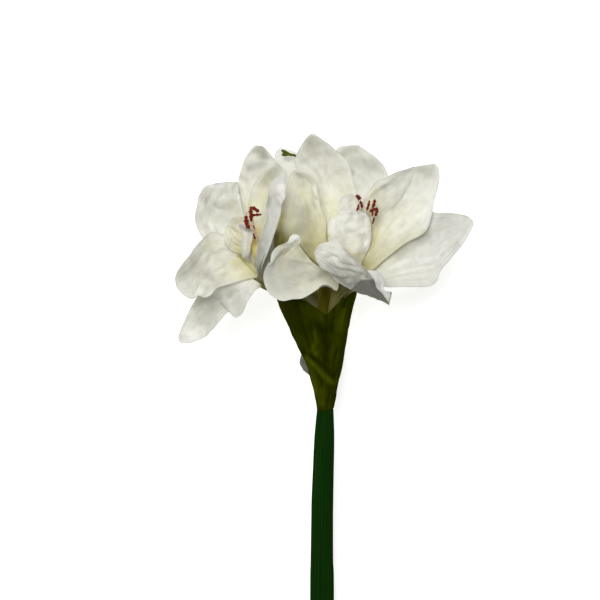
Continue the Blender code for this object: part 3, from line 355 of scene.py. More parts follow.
# The right bloom's petals. Their dyes of the whiter tint are painted light, their two greys are painted
# shade, and their olive in hollows and along borders is painted shade over the throat's own olive
RIGHT_PETALS = {
    "top": dict(fold=0.35, wave=(0.5, 1.7, 0.4), cream=(0.65, 66), leafy=(0.5, 20), rows=(
        (330, 244, 78, 358, 240, 79, 4),
        (312, 206, 76, 359, 204, 72, 6),
        (300, 178, 77, 352.5, 178, 68, 6),
        (294.3, 162.5, 76, 349, 163.5, 67, 5),
        (296.8, 153, 74, 341.5, 154.8, 66, 4),
        (301.6, 144.2, 71, 331.5, 146, 66, 2.5),
        (305.8, 138.4, 69, 322.5, 139.2, 67, 1),
        (310.6, 133.8, 68, 314.6, 134.0, 68, 0),
    ), creases=(
        (((292, 152), (300, 160), (309, 168), (316, 175), (321, 184), (323, 194)), 3.0, 0.9),
        (((327, 158), (328, 172), (330, 190)), 2.4, -0.7),
        (((318, 160), (320, 176), (324, 196)), 3.0, -0.4),
        (((336, 150), (341, 154), (345, 158)), 2.0, 0.7),
    ), lifts=(((315, 134), (22, 18), 9.0), ((329, 233), (4, 12), 8.0)), dyes=(
        ("white", ((330, 192), (331, 224)), 11, 1.0),
        ("grey", ((326, 176), (334, 184), (344, 190)), 10, 0.18),
        ("grey", ((322, 158), (334, 166), (343, 172)), 9, 0.25),
        ("cream", ((331, 204), (330, 232)), 13, 0.45),
        ("grey", ((311, 142), (314, 151)), 10, 0.55),
        ("grey", ((299, 150), (302, 160)), 4, 0.3),
        ("grey", ((326, 150), (334, 156)), 6, 0.35),
        ("leafy", ((327.3, 233), (328, 239)), 3, 1.0),
    )),
    "far_left": dict(fold=0.15, dents=0.3, ribs=(7, 0.12), cream=(0.95, 78),
                     leafy=(0.8, 26), painted_edge_shade=0.15, rows=(
        (284, 272, 78, 330, 256, 80, 2),
        (264, 254, 85, 326.3, 238, 86, 3),
        (268, 230, 91, 326, 221, 91, 3),
        (278, 206, 94, 320.3, 206, 94, 3),
        (284.6, 192, 91, 318.6, 194, 94, 3),
        (288, 181.5, 91, 316.5, 184, 94, 2),
        (291.5, 173.5, 91, 309, 175, 93, 1),
        (294.8, 169.4, 91, 299, 170.4, 91, 0),
    ), creases=(
        (((298, 172), (307, 175.5), (313, 182), (317, 190)), 2.8, 1.3),
        (((313, 189), (316.4, 196)), 2.4, 1.8),
        (((311, 200), (314, 210)), 2.4, -0.9),
        (((294, 190), (291, 205), (289, 222)), 4.0, 0.7),
    ), folds=(
        (((302, 188), (305, 200), (308, 211), (309.5, 222), (313, 234), (317, 247)), 7.0, -4.2),
    ), lifts=(((303, 168), (12, 8), 2.5),), dyes=(
        # The olive and dark grey dyes at its lower left and along its border with the front petal are
        # painted shade of the hollow; its whiter dyes are painted light
        ("olive", ((277, 236), (276, 246), (283, 241)), 7, 1.0),
        ("olive", ((288, 236), (298, 231)), 8, 0.35),
        ("olive", ((276, 240), (272, 252), (265, 266)), 8, 0.9),
        ("leafy", ((281, 232), (283, 238)), 2.2, 0.8),
        ("white", ((313, 190), (317, 202), (320, 222), (322, 236)), 5, 0.9),
        ("grey", ((299, 198), (303, 212), (306, 226), (311, 238)), 3.4, 0.35),
        ("grey", ((312, 199), (315, 208)), 2.2, 0.3),
        ("olive", ((281, 238), (288, 243)), 11, 0.85),
        ("dusk", ((277, 232), (272, 250)), 3, 0.3),
        ("olive", ((299, 246), (307, 256), (313, 261), (321, 268)), 2.2, 0.9),
        ("olive", ((306, 246), (312, 256)), 9, 0.45),
        ("grey", ((303, 212), (303, 228)), 10, 0.5),
        ("grey", ((299, 176),), 6, 0.3),
        ("grey", ((302, 171.5), (309, 175), (314, 181)), 2.6, 0.4),
        ("white", ((315, 193), (316, 198)), 3, 0.9),
        ("cream", ((297, 183), (299, 190)), 5, 0.3),
        ("leafy", ((281, 216), (278, 230), (275, 240)), 4, 0.5),
        ("leafy", ((301, 191), (305, 200), (308, 211), (309.5, 222), (313, 234), (317, 247)), 1.5, 0.34),
        ("leafy", ((309, 226), (313, 244)), 6, 0.22),
    )),
    "up_right": dict(fold=0.35, wave=(0.5, 1.8, 0.5), ribs=(13, 0.26), cream=(0.55, 64),
                     leafy=(0.8, 24), rows=(
        (360, 256, 94, 385.5, 259, 89.5, 1),
        (361, 210, 96, 406, 243.6, 90.5, 3.2),
        (373, 185, 98, 425.3, 232.6, 92, 5.4),
        (386, 177.4, 97, 432, 216, 92.5, 5.4),
        (400, 171, 96, 434.6, 201, 94, 5),
        (424, 165, 93, 439.6, 181, 93, 2),
        (434.5, 163.4, 91, 438.8, 168, 92, 0),
    ), creases=(
        (((404, 202), (420, 190), (434, 176)), 3.0, 0.5),
        (((366, 199), (371, 192), (378, 187), (388, 182)), 2.4, 1.2),
    ), folds=(
        (((413.3, 166), (412.8, 175), (410, 185), (404, 196), (394, 209)), 1.3, -1.5),
        (((408, 206), (395, 220), (380, 238), (371, 250)), 0.8, -0.7),
        (((404, 200), (390, 215), (377, 233)), 0.8, -0.6),
        (((427, 205), (408, 222), (392, 238)), 0.8, -0.5),
    ), lifts=(((424, 162), (13, 12), 4.0), ((364, 256), (13, 14), 2.0)), dyes=(
        ("white", ((384, 228), (404, 222), (426, 208)), 15, 1.0),
        ("white", ((366, 196), (370, 216), (364, 250)), 9, 1.0),
        ("white", ((374, 262), (394, 246), (426, 224)), 5, 0.9),
        ("leafy", ((372, 190), (372, 210)), 9, 0.2),
        ("leafy", ((377, 233), (373.4, 248), (367, 265)), 2.4, 0.3),
        ("leafy", ((374, 264), (396, 247), (420, 232)), 6, 0.2),
        ("grey", ((413.3, 166), (412.4, 176), (409, 187)), 1.0, 0.4),
        ("leafy", ((408, 206), (395, 220), (380, 238), (371, 250)), 0.9, 0.2),
        ("leafy", ((400, 205), (388, 218), (377, 233)), 0.9, 0.16),
        ("cream", ((376, 226), (370, 250)), 10, 0.6),
        ("grey", ((398, 175), (409, 170)), 4, 0.4),
        ("grey", ((418, 170), (430, 172)), 5, 0.35),
        ("grey", ((384, 188), (396, 178)), 4, 0.3),
    )),
    "right": dict(fold=0.25, wave=(0.8, 2.0, 0.1), dents=0.4, ribs=(13, 0.34), cream=(0.2, 40),
                  leafy=(0.5, 14), rows=(
        (385, 251, 86.5, 385, 287, 84, 1),
        (408, 229, 88.5, 406, 286.8, 85, 2),
        (428, 212.5, 89.5, 427, 286.6, 83, 2.5),
        (436, 212.5, 87, 436.4, 281.6, 81, 2.5),
        (444, 212.8, 83, 441, 270.4, 80, 2.5),
        (455, 213.4, 77.5, 452, 257.6, 76, 2),
        (467, 215.7, 71, 464.5, 242, 70, 1.5),
        (473.5, 221, 68, 473.5, 226, 68, 0),
    ), creases=(
        (((392, 265), (410, 258), (430, 257)), 1.8, -0.6),
        (((394, 272), (412, 267), (432, 266)), 1.8, -0.6),
    ), dyes=(
        ("white", ((400, 262), (440, 250)), 22, 0.7),
        ("leafy", ((378, 264), (400, 250)), 7, 0.14),
        ("grey", ((398, 255), (413, 246), (428, 237)), 4.5, 0.5),
        ("white", ((462, 222), (462, 240)), 10, 0.7),
    )),
    "near": dict(fold=0.1, cream=(0.12, 80), leafy=(0.2, 10), ribs=(10, 0.7),
                 rows=(
        (346, 258, 101, 341, 277, 99, 0),
        (331, 248, 113, 324, 266, 109, 0),
        (318, 245.8, 123, 314.4, 252.5, 120, 0),
        (327.5, 241.8, 129, 317, 261.3, 122, -5),
        (335.5, 240.8, 130.5, 325, 269.8, 121, -6),
        (344, 247, 131, 334, 277.6, 119, -6.5),
        (351, 254.6, 131, 341.6, 283.8, 116, -6),
        (358, 260.8, 130.5, 349.4, 289.2, 111, -4.5),
        (365.2, 268.6, 130, 357.4, 294, 105, -1),
        (371.4, 275.8, 129, 365.8, 296.4, 100, 1),
        (376.6, 282.4, 121, 373, 297.8, 99, 0),
        (380.6, 290, 114.5, 378.6, 299.6, 99.5, 0),
        (384.8, 296.6, 108.5, 384, 302.2, 101.5, 0),
        (388.2, 301.6, 105.5, 388.8, 305, 104.5, 0),
    ), creases=(
        (((333.5, 260.5), (339, 265.5), (353.5, 269), (362, 270.5)), 1.7, 1.3),
        (((335.3, 268), (343, 271), (356, 274)), 1.6, -1.4),
        (((341, 263.5), (349.8, 266.5), (358, 267)), 1.4, -1.2),
        (((328, 258.5), (332, 256.8), (337, 258)), 2.2, -1.8),
        (((347, 257), (353, 259.5), (359.5, 261.4)), 2.0, -1.2),
        (((322, 266.5), (332, 273), (345, 277)), 1.5, 0.9),
        (((327, 272), (337, 276.5), (349, 279.5)), 1.6, -1.3),
        (((319, 250), (330, 249), (341, 250)), 1.6, -0.8),
        (((362, 275), (368, 276.5)), 2.2, -1.6),
        (((346, 283), (356, 281.5), (362, 278.5), (368, 276), (374, 277.5)), 1.4, 1.2),
    ), dyes=(
        ("grey", ((330, 268), (342, 273), (356, 276)), 6.5, 0.6),
        ("grey", ((345, 263), (356, 270), (366, 275)), 7, 0.55),
        ("dusk", ((344, 248.4), (350, 254.6), (356.4, 261), (363, 267.4), (369, 274)), 2.0, 0.45),
        ("dusk", ((334, 275), (342, 280.5), (350, 285.5)), 3.2, 0.55),
        ("dusk", ((346, 286), (356, 281)), 4.5, 0.4),
        ("grey", ((340, 276), (352, 280), (360, 277)), 5, 0.6),
    ), patches=(
        # Painted shade on the underside of its folded end, which faces down
        ("grey", UNDERSIDE_SHADE, 1.0),
        ("dusk", UNDERSIDE_SHADE, 0.62),
        ("dusk", ((363.3, 277.6), (368.4, 271.6), (373.6, 278.6)), 0.45),
    ), painted_edge_shade=0.1),
    "near_flap": dict(fold=0.1, cream=(0.1, 20), leafy=(0.1, 10), rooted=False,
                      ribs=(3, 0.2), dents=0.3, painted_edge_shade=0.3, rows=(
        (366.6, 270.6, 126, 368.8, 270.2, 126, 0),
        (370.4, 274.6, 128, 376.6, 271.2, 124, 0),
        (373.4, 279, 127, 382.4, 275.2, 121, 1),
        (375.2, 283, 124, 384.9, 280.6, 119, 1),
        (376.4, 287.4, 120.5, 384.9, 285.6, 117, 1),
        (379.4, 290.8, 118, 383.5, 289, 115.5, 0.5),
        (382, 293.6, 115, 386.6, 291.2, 113, 0.5),
        (384.2, 296.6, 112, 391.6, 292.2, 111, 1),
        (386.4, 299.6, 109.5, 391.2, 296.6, 109.5, 0.5),
        (388, 302, 108, 390, 301.2, 108.5, 0),
        (388.6, 304, 107, 389.4, 303.8, 107, 0),
        (388.9, 305.8, 106, 389.2, 305.8, 106, 0),
    ), creases=(
        (((379, 276), (381, 283), (381.4, 288)), 1.6, -0.5),
        (((384, 291.6), (387, 297)), 1.4, 0.6),
    ), dyes=(
        ("white", ((376, 276), (380, 284), (381, 292), (386, 296)), 4, 0.9),
        ("grey", ((391.4, 292.6), (390.8, 297), (389.4, 302)), 1.3, 0.9, 4),
        ("grey", ((387, 303), (389, 304)), 1.8, 1.0, 4),
        ("dusk", ((388, 303.4), (389, 305)), 1.3, 0.6, 4),
        ("grey", ((377, 282), (379.4, 289), (384, 295)), 1.4, 0.3),
    )),
    "low_left": dict(fold=0.15, dents=0.45, cream=(0.35, 60), leafy=(0.6, 16),
                     painted_edge_shade=0.12, rows=(
        (342, 281.4, 92, 343, 272, 92, 0),
        (338.7, 282.8, 94, 339.6, 272, 94, 0),
        (338.1, 288.4, 95.5, 338.8, 272, 95.5, 0),
        (336, 290.6, 96, 337, 271.6, 96.5, 0),
        (331, 288.4, 97.5, 332, 270, 97, 0.5),
        (325.8, 286.6, 98.5, 327, 269, 98, 1),
        (320.6, 287.6, 100, 323, 267.6, 99.5, 2),
        (313.5, 292.2, 103, 317, 265, 102, 4),
        (303, 298.2, 107, 311.5, 260.8, 104.5, 5),
        (292, 299.2, 110.5, 307, 256, 106.5, 6),
        (281, 300.8, 113.5, 303.5, 251.5, 108.5, 6),
        (269.3, 294, 116, 301, 248, 110, 6),
        (263.9, 281.5, 117, 299.6, 246, 111, 6),
        (264.4, 271.5, 117.3, 299.3, 244.8, 111.3, 5),
        (269.2, 262.5, 117, 299.5, 244, 111.5, 4),
        (271.8, 253, 117, 300, 243, 112, 3),
        (277.3, 246.6, 116.5, 300.4, 242, 112.5, 2.5),
        (283.5, 243.8, 116, 300.7, 240.8, 113, 1.5),
        (287.7, 241.2, 115.7, 300.5, 238.8, 113.4, 0.5),
        (289.6, 237.4, 115.2, 299.6, 236.6, 113.6, 0),
        (292.4, 234.9, 114.4, 298, 235, 113.4, 0),
        (294.6, 234.2, 113.8, 296.6, 234.2, 113.4, 0),
    ), creases=(
        (((291, 243), (285, 247), (279, 250.5), (274.8, 256), (270.8, 263)), 2.8, 1.5),
        (((289, 251.5), (285, 255), (278, 257.5), (274.6, 261)), 1.3, -0.9),
        (((290, 258), (303, 260.6), (312, 262), (320, 268.6)), 2.4, 1.2),
        (((300, 250), (306, 256.5)), 3.4, -1.0),
        (((322, 276), (306, 284), (288, 290)), 3.0, -0.6),
        (((318, 270), (300, 272), (282, 276)), 3.0, 0.5),
    ), lifts=(((295.5, 238.5), (5, 4.5), 2.2), ((290, 305), (20, 9), 1.5)), dyes=(
        ("dusk", ((320.4, 288), (323.6, 286.2), (327, 286.4), (331.4, 288.8)), 1.5, 1.0, 4),
        ("white", ((294, 238), (291, 242)), 6, 1.0),
        ("white", ((289, 242), (279, 245.5), (273.4, 249.5), (272, 258), (267, 267)), 1.6, 0.78),
        ("grey", ((287, 250.6), (280, 254), (275, 259)), 1.8, 0.25),
        ("cream", ((285, 256), (283, 266)), 8, 0.4),
        ("grey", ((285, 256), (282, 266)), 6, 0.4),
        ("grey", ((276, 268), (286, 282)), 15, 0.35),
        ("grey", ((284, 262), (292, 268)), 13, 0.45),
        ("leafy", ((278, 270), (300, 276)), 14, 0.08),
        ("leafy", ((284, 250), (305, 257)), 8, 0.22),
        ("grey", ((273, 276), (277, 288)), 9, 0.4),
        ("grey", ((312, 280), (320, 277), (324, 274)), 4, 0.5),
        ("leafy", ((297, 250), (304, 256)), 5, 0.35),
        ("grey", ((301, 252), (307, 258)), 3.4, 0.35),
    )),
}

# Petals of the bloom underneath. Their dyes of the whiter tint are painted light, their two greys are
# painted shade, and the olive on the lowest petal is painted shade over the throat's own olive
BACK_PETALS = {
    "upper_left": dict(wave=(0.4, 1.8, 0.3), dents=0.4, rows=(
        (302, 230, 36, 319, 223, 36, -3),
        (284, 197, 28, 311, 190, 28, -5),
        (274, 169, 21, 301, 166, 21, -5),
        (275, 153, 16, 297, 153.5, 16, -2),
        (280, 147.6, 14, 288, 149, 14, 0),
    )),
    "upper_right": dict(wave=(0.6, 1.8, 0.6), rows=(
        (327, 222, 36, 350, 224, 36, -3),
        (328, 190, 29, 377, 196, 29, -5),
        (330, 165, 23, 389, 177, 23, -5),
        (338, 148.8, 19, 374, 156, 19, -3),
        (350, 144.8, 17, 359, 145.2, 17, 0),
    ), creases=(
        (((343, 158), (350, 160), (358, 165)), 2.2, 0.9),
        (((352, 148), (362, 155), (372, 168)), 2.6, -0.9),
        (((362, 172), (372, 180)), 2.6, 0.6),
    ), mounds=(((351, 170), (6, 6), 1.2),), lifts=(
        ((352, 146), (18, 12), 7.0),
        ((372, 157), (12, 12), 4.0),
    ), dyes=(
        ("grey", ((343, 155), (346, 151), (355, 150)), 6, 0.65),
        ("grey", ((354, 161), (364, 163), (374, 166)), 9, 0.58),
        ("white", ((348, 163), (353, 165)), 3.4, 0.5),
        ("white", ((354, 182), (360, 194)), 8, 1.0),
        ("grey", ((352, 172),), 5, 0.45),
        ("grey", ((366, 172),), 14, 0.25),
    )),
    "right_high": dict(wave=(1.0, 1.6, 0.1), rows=(
        (345, 233, 35, 358, 248, 34, -3),
        (363, 207, 28, 385, 233, 28, -5),
        (387, 193, 20, 406, 217, 20, -4),
        (403, 190, 13, 413, 204, 13, -1),
        (410, 193, 10, 413, 197, 10, 0),
    )),
    "right_low": dict(wave=(0.8, 1.6, 0.4), rows=(
        (351, 246, 34, 351, 270, 34, -3),
        (376, 238, 25, 375, 284, 25, -5),
        (400, 243, 13, 399, 283, 13, -4),
        (416, 254, 4, 415, 275, 4, -1),
        (422.5, 262, 0.415, 422, 267, 0.415, 0),
    )),
    "low": dict(wave=(0.8, 1.6, 0.0), dyes=(
        # Painted shade: the olive and the greys at its base and tip, which lie in shadow
        ("olive", ((310, 298), (345, 294)), 16, 1.0),
        ("grey", ((302, 356), (306, 372)), 9, 1.0),
        ("grey", ((304, 294), (311, 301)), 4, 0.6),
        ("dusk", ((302, 362), (306, 372)), 8, 0.8),
    ), rows=(
        (304, 288, 31, 355, 288, 31, -2),
        (303, 320, 26, 346, 320, 26, -3),
        (303, 346, 21, 337, 344, 21, -2),
        (299.6, 362, 12, 324, 365, 14, -1),
        (303.3, 370.6, 5, 311, 376.5, 2.5, 0),
    )),
    "left": dict(wave=(0.8, 1.6, 0.7), rows=(
        (298, 246, 34, 298, 272, 34, -3),
        (268, 240, 25, 268, 281, 25, -5),
        (240, 243, 13, 240, 281, 13, -4),
        (222, 252, 4, 222, 273, 4, -1),
        (213.5, 260, 0.415, 213.5, 265, 0.415, 0),
    )),
}

# Small curled petals in the two front throats, in the same form. Their dyes of the whiter tint are
# painted light, and their two greys and the olive lines in their folds are painted shade
LEFT_RUFFLES = {
    "curl": dict(fold=0.2, wave=(0.8, 2.6, 0.2), cream=(0.7, 60), leafy=(0.3, 24), crumple=(7, 0.4),
                 painted_edge_shade=0.0, rows=(
        (246, 259, 93, 250, 257, 93, 0),
        (238.6, 254, 98.6, 247.6, 252, 98, 0.5),
        (230.6, 249.4, 101, 244.8, 245, 101.5, 0.5),
        (224.6, 242, 104, 243.6, 237, 104.5, 0),
        (224.2, 231, 104.5, 243.5, 229, 104.5, -1),
        (228, 222.4, 103.5, 244.8, 221, 103, -1),
        (232.4, 217.6, 102, 244.2, 216.8, 102, -0.5),
        (236, 216.2, 101.5, 242, 216, 101.5, 0),
    ), creases=(
        (((229.5, 228.5), (233, 233), (239.5, 240)), 1.3, 1.4),
        (((228, 226), (233, 228), (237, 232), (242, 236)), 1.5, -1.3),
        (((229, 239), (233, 244), (241, 248)), 1.7, -1.0),
        (((236, 219), (241, 224)), 1.6, 0.7),
        (((227, 233), (230, 240)), 1.6, 0.8),
    ), dyes=(
        ("white", ((229, 234), (238, 246)), 10, 1.0),
        ("leafy", ((236, 247), (245, 256)), 4, 0.4),
        ("cream", ((238, 232), (243, 250)), 5, 0.6),
        ("olive", ((234, 221), (242, 219)), 5, 0.3),
        ("olive", ((228, 226.3), (233, 228), (237, 231.5)), 1.5, 0.35),
    )),
    "inner": dict(fold=0.2, wave=(0.2, 1.5, 0.4), cream=(0.0, 40), leafy=(0.3, 12), crumple=(8, 0.35),
                  painted_edge_shade=0.1, rows=(
        (248, 262, 92, 251, 261, 92, 0),
        (242.6, 257.4, 100, 249.4, 256.4, 99, 0),
        (241.2, 251.6, 104, 250.2, 251.6, 103, -0.5),
        (240.6, 244, 106.5, 251.4, 244, 105.5, -1),
        (241.6, 237.6, 107.5, 253, 238, 106.5, -1),
        (242.2, 233, 107.5, 253.4, 233, 107, -1),
        (240.2, 229.4, 107.5, 251, 228.6, 107, -1),
        (238.8, 225.4, 107, 247, 226.2, 106.5, -0.5),
        (240.4, 223.8, 106.5, 244, 224, 106.5, 0),
    ), creases=(
        (((240, 231), (247, 230.5), (252, 232)), 1.4, -0.8),
        (((243, 238), (243.4, 250)), 1.3, -0.7),
        (((247, 236), (246, 250)), 2.6, 0.5),
    ), dyes=(
        ("white", ((248, 236), (246.6, 252)), 9, 0.55),
        ("grey", ((239, 225), (244, 227.5), (250, 230)), 2.6, 0.75),
        ("olive", ((239, 225), (247, 229)), 2.4, 0.15),
        ("grey", ((242, 236), (242.4, 252)), 1.4, 0.35),
        ("cream", ((248, 238), (247, 256)), 5, 0.35),
        ("leafy", ((251, 264), (255, 272)), 4, 0.8),
    )),
}
RIGHT_RUFFLES = {
    "rear": dict(fold=0.2, wave=(0.3, 1.5, 0.2), cream=(0.4, 60), leafy=(0.3, 12),
                 crumple=(7, 0.15), painted_edge_shade=0.05, rows=(
        (346, 242, 95, 360, 240, 94, 1),
        (340, 222, 97.5, 362, 218, 96.5, 1.5),
        (338.2, 208, 98.4, 359.4, 206, 96.5, 2),
        (339.2, 200, 98, 358, 199, 96, 2),
        (343.5, 195.8, 97.5, 355.8, 195.6, 96, 1),
        (347.5, 194.2, 97.2, 352.5, 194.2, 96.8, 0),
    ), creases=(
        (((345, 208), (353, 199.5)), 1.2, -0.4),
        (((349, 209), (356, 202)), 1.2, -0.4),
    ), mounds=(((350, 203), (5, 5), -0.8),), dyes=(
        ("white", ((346, 202),), 16, 1.0),
        ("grey", ((351, 204), (353, 199)), 5, 0.4),
    )),
    "crest": dict(fold=0.1, wave=(0.3, 2.2, 0.5), cream=(0.35, 60), leafy=(0.3, 12),
                  crumple=(12, 0.2), painted_edge_shade=0.05, rows=(
        (340, 266, 98, 359, 269, 93.6, 0),
        (335, 257, 102, 363, 261, 95.6, 0),
        (333.5, 247, 105, 368, 250, 97.6, 0),
        (333, 236, 103.5, 371.4, 240, 98.2, -0.5),
        (334, 227, 101.5, 371.6, 229.6, 99.5, -1),
        (336, 219.5, 100, 369.8, 219.5, 99, -1.5),
        (338.6, 213.8, 99.5, 366.8, 213.8, 98.5, -1.5),
        (342.5, 210.4, 99, 360.5, 211, 98.5, -1),
        (347, 209.4, 98.5, 354, 209.6, 98, 0),
    ), creases=(
        (((340.5, 214.5), (343.5, 211.8), (350, 211), (356, 212.8)), 1.5, 0.7),
        (((357.5, 214), (357, 219), (353.5, 223.5)), 1.4, 0.8),
        (((352.5, 214.5), (350.5, 219), (346.5, 224)), 1.6, -0.9),
        (((361, 214.2), (366.5, 215.6), (369, 220)), 1.4, 0.6),
        (((368, 227), (360.5, 229), (356, 231.5), (348, 234)), 1.7, -0.9),
        (((344, 236), (350, 241), (352, 248)), 1.8, -0.5),
        (((369, 235), (369.6, 240), (367.3, 245), (363.5, 248)), 1.7, 1.1),
    ), mounds=(
        ((350, 214.6), (5, 2.2), -1.0),
        ((344.6, 220.6), (3.6, 3), 1.4),
        ((352, 227), (6.5, 3.2), 1.6),
        ((363, 219.5), (3.6, 3.2), -1.2),
        ((362, 232.4), (6, 3.2), 1.5),
        ((358, 246.5), (6, 4), 2.4),
        ((363.4, 240.5), (2.4, 3.0), -0.7),
        ((343, 233), (5, 3), -0.6),
    ), dyes=(
        ("white", ((342, 222), (360, 226), (362, 244)), 17, 1.0),
        ("grey", ((361.6, 238.4), (360.6, 241.6), (362, 244)), 1.3, 0.35),
        ("grey", ((363, 217.5), (363, 221)), 2.6, 0.3),
        ("grey", ((352, 214), (351.5, 220)), 2.4, 0.3),
        ("leafy", ((369.8, 226),), 1.8, 0.4),
        ("cream", ((340, 247), (352, 254), (361, 258)), 4, 0.5),
    ), patches=(
        # Painted shade on the crest's low side, below its ring
        ("cream", ((333, 243), (350.6, 249.8), (356, 270), (338, 270)), 0.75),
        ("cream", CREST_SIDE_SHADE, 0.75),
        ("grey", CREST_SIDE_SHADE, 0.2),
    )),
    "small": dict(fold=0.2, wave=(0.2, 1.5, 0.3), cream=(0.3, 60), leafy=(0.3, 12),
                  crumple=(8, 0.2), painted_edge_shade=0.05, rows=(
        (332, 252, 98, 342, 252, 98, 0),
        (327.8, 239, 101.8, 342, 239, 102.4, -1.5),
        (328, 226, 98.8, 342, 225, 99.4, -2),
        (330, 218.8, 96.4, 340.5, 218.2, 97.6, -1.2),
        (333, 217, 96, 338, 217, 96.8, 0),
    ), mounds=(((333.5, 225), (3.4, 4), 1.4),), dyes=(
        ("white", ((334, 226),), 12, 1.0),
        ("cream", ((334, 240), (337, 248)), 6, 0.4),
        ("leafy", ((328, 236),), 2.2, 0.8),
    )),
}

# Stamens: the filament's way from the throat, then the pollen head's way and its radius in mm
STAMENS = {
    "left": (
        (((264, 256, 95), (257.5, 236, 108), (250.5, 212, 117)),
         ((249.6, 207.8, 117), (254.2, 208.6, 118), (259.2, 212.1, 118)), 1.6),
        (((265, 256, 95), (257, 238, 109), (251.4, 222, 116)),
         ((250.6, 208.2, 118), (250.9, 214, 119), (251.2, 221.8, 119)), 1.6),
        (((265, 257, 94), (258, 240, 107), (252.6, 220, 113)),
         ((251.4, 215.4, 114), (256.5, 214.9, 115), (261.6, 214.5, 115)), 1.15),
        (((264, 255, 96), (255.6, 236, 113), (250.4, 223, 122), (247.2, 212.6, 122)),
         ((246, 215.4, 118), (246.2, 220, 118.5), (247.4, 225.2, 118.5), (249.6, 228.6, 118)), 1.8),
        (((266, 257, 94), (259, 241, 105), (254.8, 231, 109)),
         ((253.2, 225.4, 112), (253.8, 229.4, 112)), 0.95),
        (((265, 258, 94), (260, 244, 104), (256, 239, 108)),
         ((254.0, 232.8, 111), (255.2, 239.2, 110)), 1.2),
    ),
    "right": (
        (((354, 252, 95), (358, 226, 93), (359, 204, 102)),
         ((356, 195.3, 107), (358.4, 197.2, 107.5), (360.6, 199.5, 107)), 1.6),
        (((355, 252, 95), (360, 228, 93), (362, 213, 97)),
         ((360, 200.6, 107), (361.5, 204.3, 107), (362.4, 208.4, 106)), 1.15),
        (((354, 252, 95), (357, 226, 93), (358.6, 203, 102.5)),
         ((358.7, 204.4, 108), (357.8, 208.2, 108.6), (356.6, 211.2, 109)), 0.85),
        (((356, 252, 95), (362, 230, 93), (366, 214, 97.5)),
         ((369.6, 200.3, 105), (368.5, 205.2, 106), (366.7, 210.8, 107)), 1.05),
        (((356, 252, 95), (363, 230, 93), (370, 211, 98)),
         ((375, 199.2, 104), (374.2, 203.2, 105), (372.6, 208.6, 106)), 1.25),
        (((357, 252, 95), (364, 232, 93), (369.2, 217, 98)),
         ((369.4, 211.6, 106), (373.4, 209.6, 107), (377.9, 208.4, 106)), 1.25),
        (((357, 252, 95), (367, 234, 93), (372.3, 224, 98)),
         ((377.4, 208.6, 105), (376.6, 212.4, 105), (375.2, 216.4, 105)), 1.25),
        (((357, 253, 95), (367, 235, 92.5), (371.8, 226, 97.5)),
         ((372.8, 211, 105), (372.2, 216.4, 104.5)), 0.75),
        (((358, 253, 95), (366, 236, 92.5), (371.4, 227, 97.5)),
         ((374.5, 217.2, 104), (373.6, 220.6, 103.5), (372.4, 224.0, 103)), 0.8),
    ),
    "back": (
        (((321, 262, 32), (315, 256, 20), (308, 250, 10)),
         ((308.5, 250.2, 10), (301, 247, 8)), 1.1),
        (((328, 262, 32), (334, 257, 20), (341, 252, 10)),
         ((340.5, 252.2, 10), (348, 250, 8)), 1.1),
        (((325, 262, 30), (326, 262, 18), (327, 266, 9)),
         ((327, 265.5, 9), (329, 275, 7)), 1.1),
    ),
}
# Filaments: radius in mm, and its share of that at their foot and their end
FILAMENT_RADIUS = 0.45
FILAMENT_TAPER = (1.15, 0.7)
# Pollen heads: how blunt their ends are, the least square of an end's width, and the height of their
# lumps as a share of the radius. Waves of the lumps: radians along a head, shift from head to head
# in radians, weight
POLLEN_BLUNT = 3.5
POLLEN_END = 0.03
POLLEN_LUMPS = 0.2
POLLEN_WAVES = ((17, 2.3, 1.0), (31, 5.1, 0.7))
# Grains on them: mean height and spread in mm
POLLEN_GRAINS = (-0.04, 0.06)
# The pad on the throat's floor from which they grow: its radius and height in mm, its profile as
# shares of the height and of the radius, and how far it lies beside the middle in mm
PAD_RADIUS = 2.6
PAD_HEIGHT = 2.4
PAD_PROFILE = ((0.0, 1.0), (0.35, 0.95), (0.7, 0.7), (1.0, 0.35))
PAD_SHIFTS = {"left": 0.0, "right": 0.0, "back": 3.0}

# Pistil of the bloom underneath: its way from beside the stamens, and the ends of its parted tip
PISTIL_LINE = (
    (325, 254, 37), (323, 240, 32), (320.5, 222, 31), (317, 203, 34),
    (309, 178, 37), (297.4, 157.7, 35), (289.2, 154.3, 33),
)
STIGMA_ENDS = ((281.3, 150.2, 33), (281.5, 154.6, 33), (283.4, 152.3, 31))
# Radius of its style and of its tip, how far its foot is beside the throat's middle, and how far it
# rises before it bends, all in mm
STYLE_RADIUS = 0.85
STIGMA_RADIUS = 1.5
STYLE_SHIFT = -4.0
STYLE_RISE = 3.5
# How suddenly the style swells at its end, and how far: a share of the way to the tip's radius
STYLE_SWELL = (6, 0.6)
# The tip parts this share of the way back to the sixth ring from the end
FORK = (6, 0.6)
# Rings of a part of the tip, its width at the fork, and where it starts to close
STIGMA_RINGS = 22
STIGMA_NARROW = 0.6
STIGMA_CLOSES = 0.72

# Sheath: grid steps down, its middle, half its width in steps, and half its depth in millimetres
SHEATH_STATIONS = (
    (409.3, 325.25, 8.5, 7.2),
    (402.0, 325.5, 9.4, 7.9),
    (388.0, 325.5, 12.3, 10.0),
    (375.0, 325.3, 15.3, 12.5),
    (362.0, 324.5, 18.5, 15.0),
    (350.0, 322.9, 22.7, 18.0),
    (336.0, 320.2, 27.6, 21.0),
    (320.0, 317.6, 32.3, 23.5),
    (306.0, 316.0, 37.2, 25.0),
    (291.0, 316.2, 43.2, 26.0),
)
# Its thickness in mm, and the share by which it thins at its top edge
SHEATH_THICK = 0.9
SHEATH_THINNING = 0.75
# Corners round it and rows up it
SHEATH_ROUND = 192
SHEATH_ALONG = 96
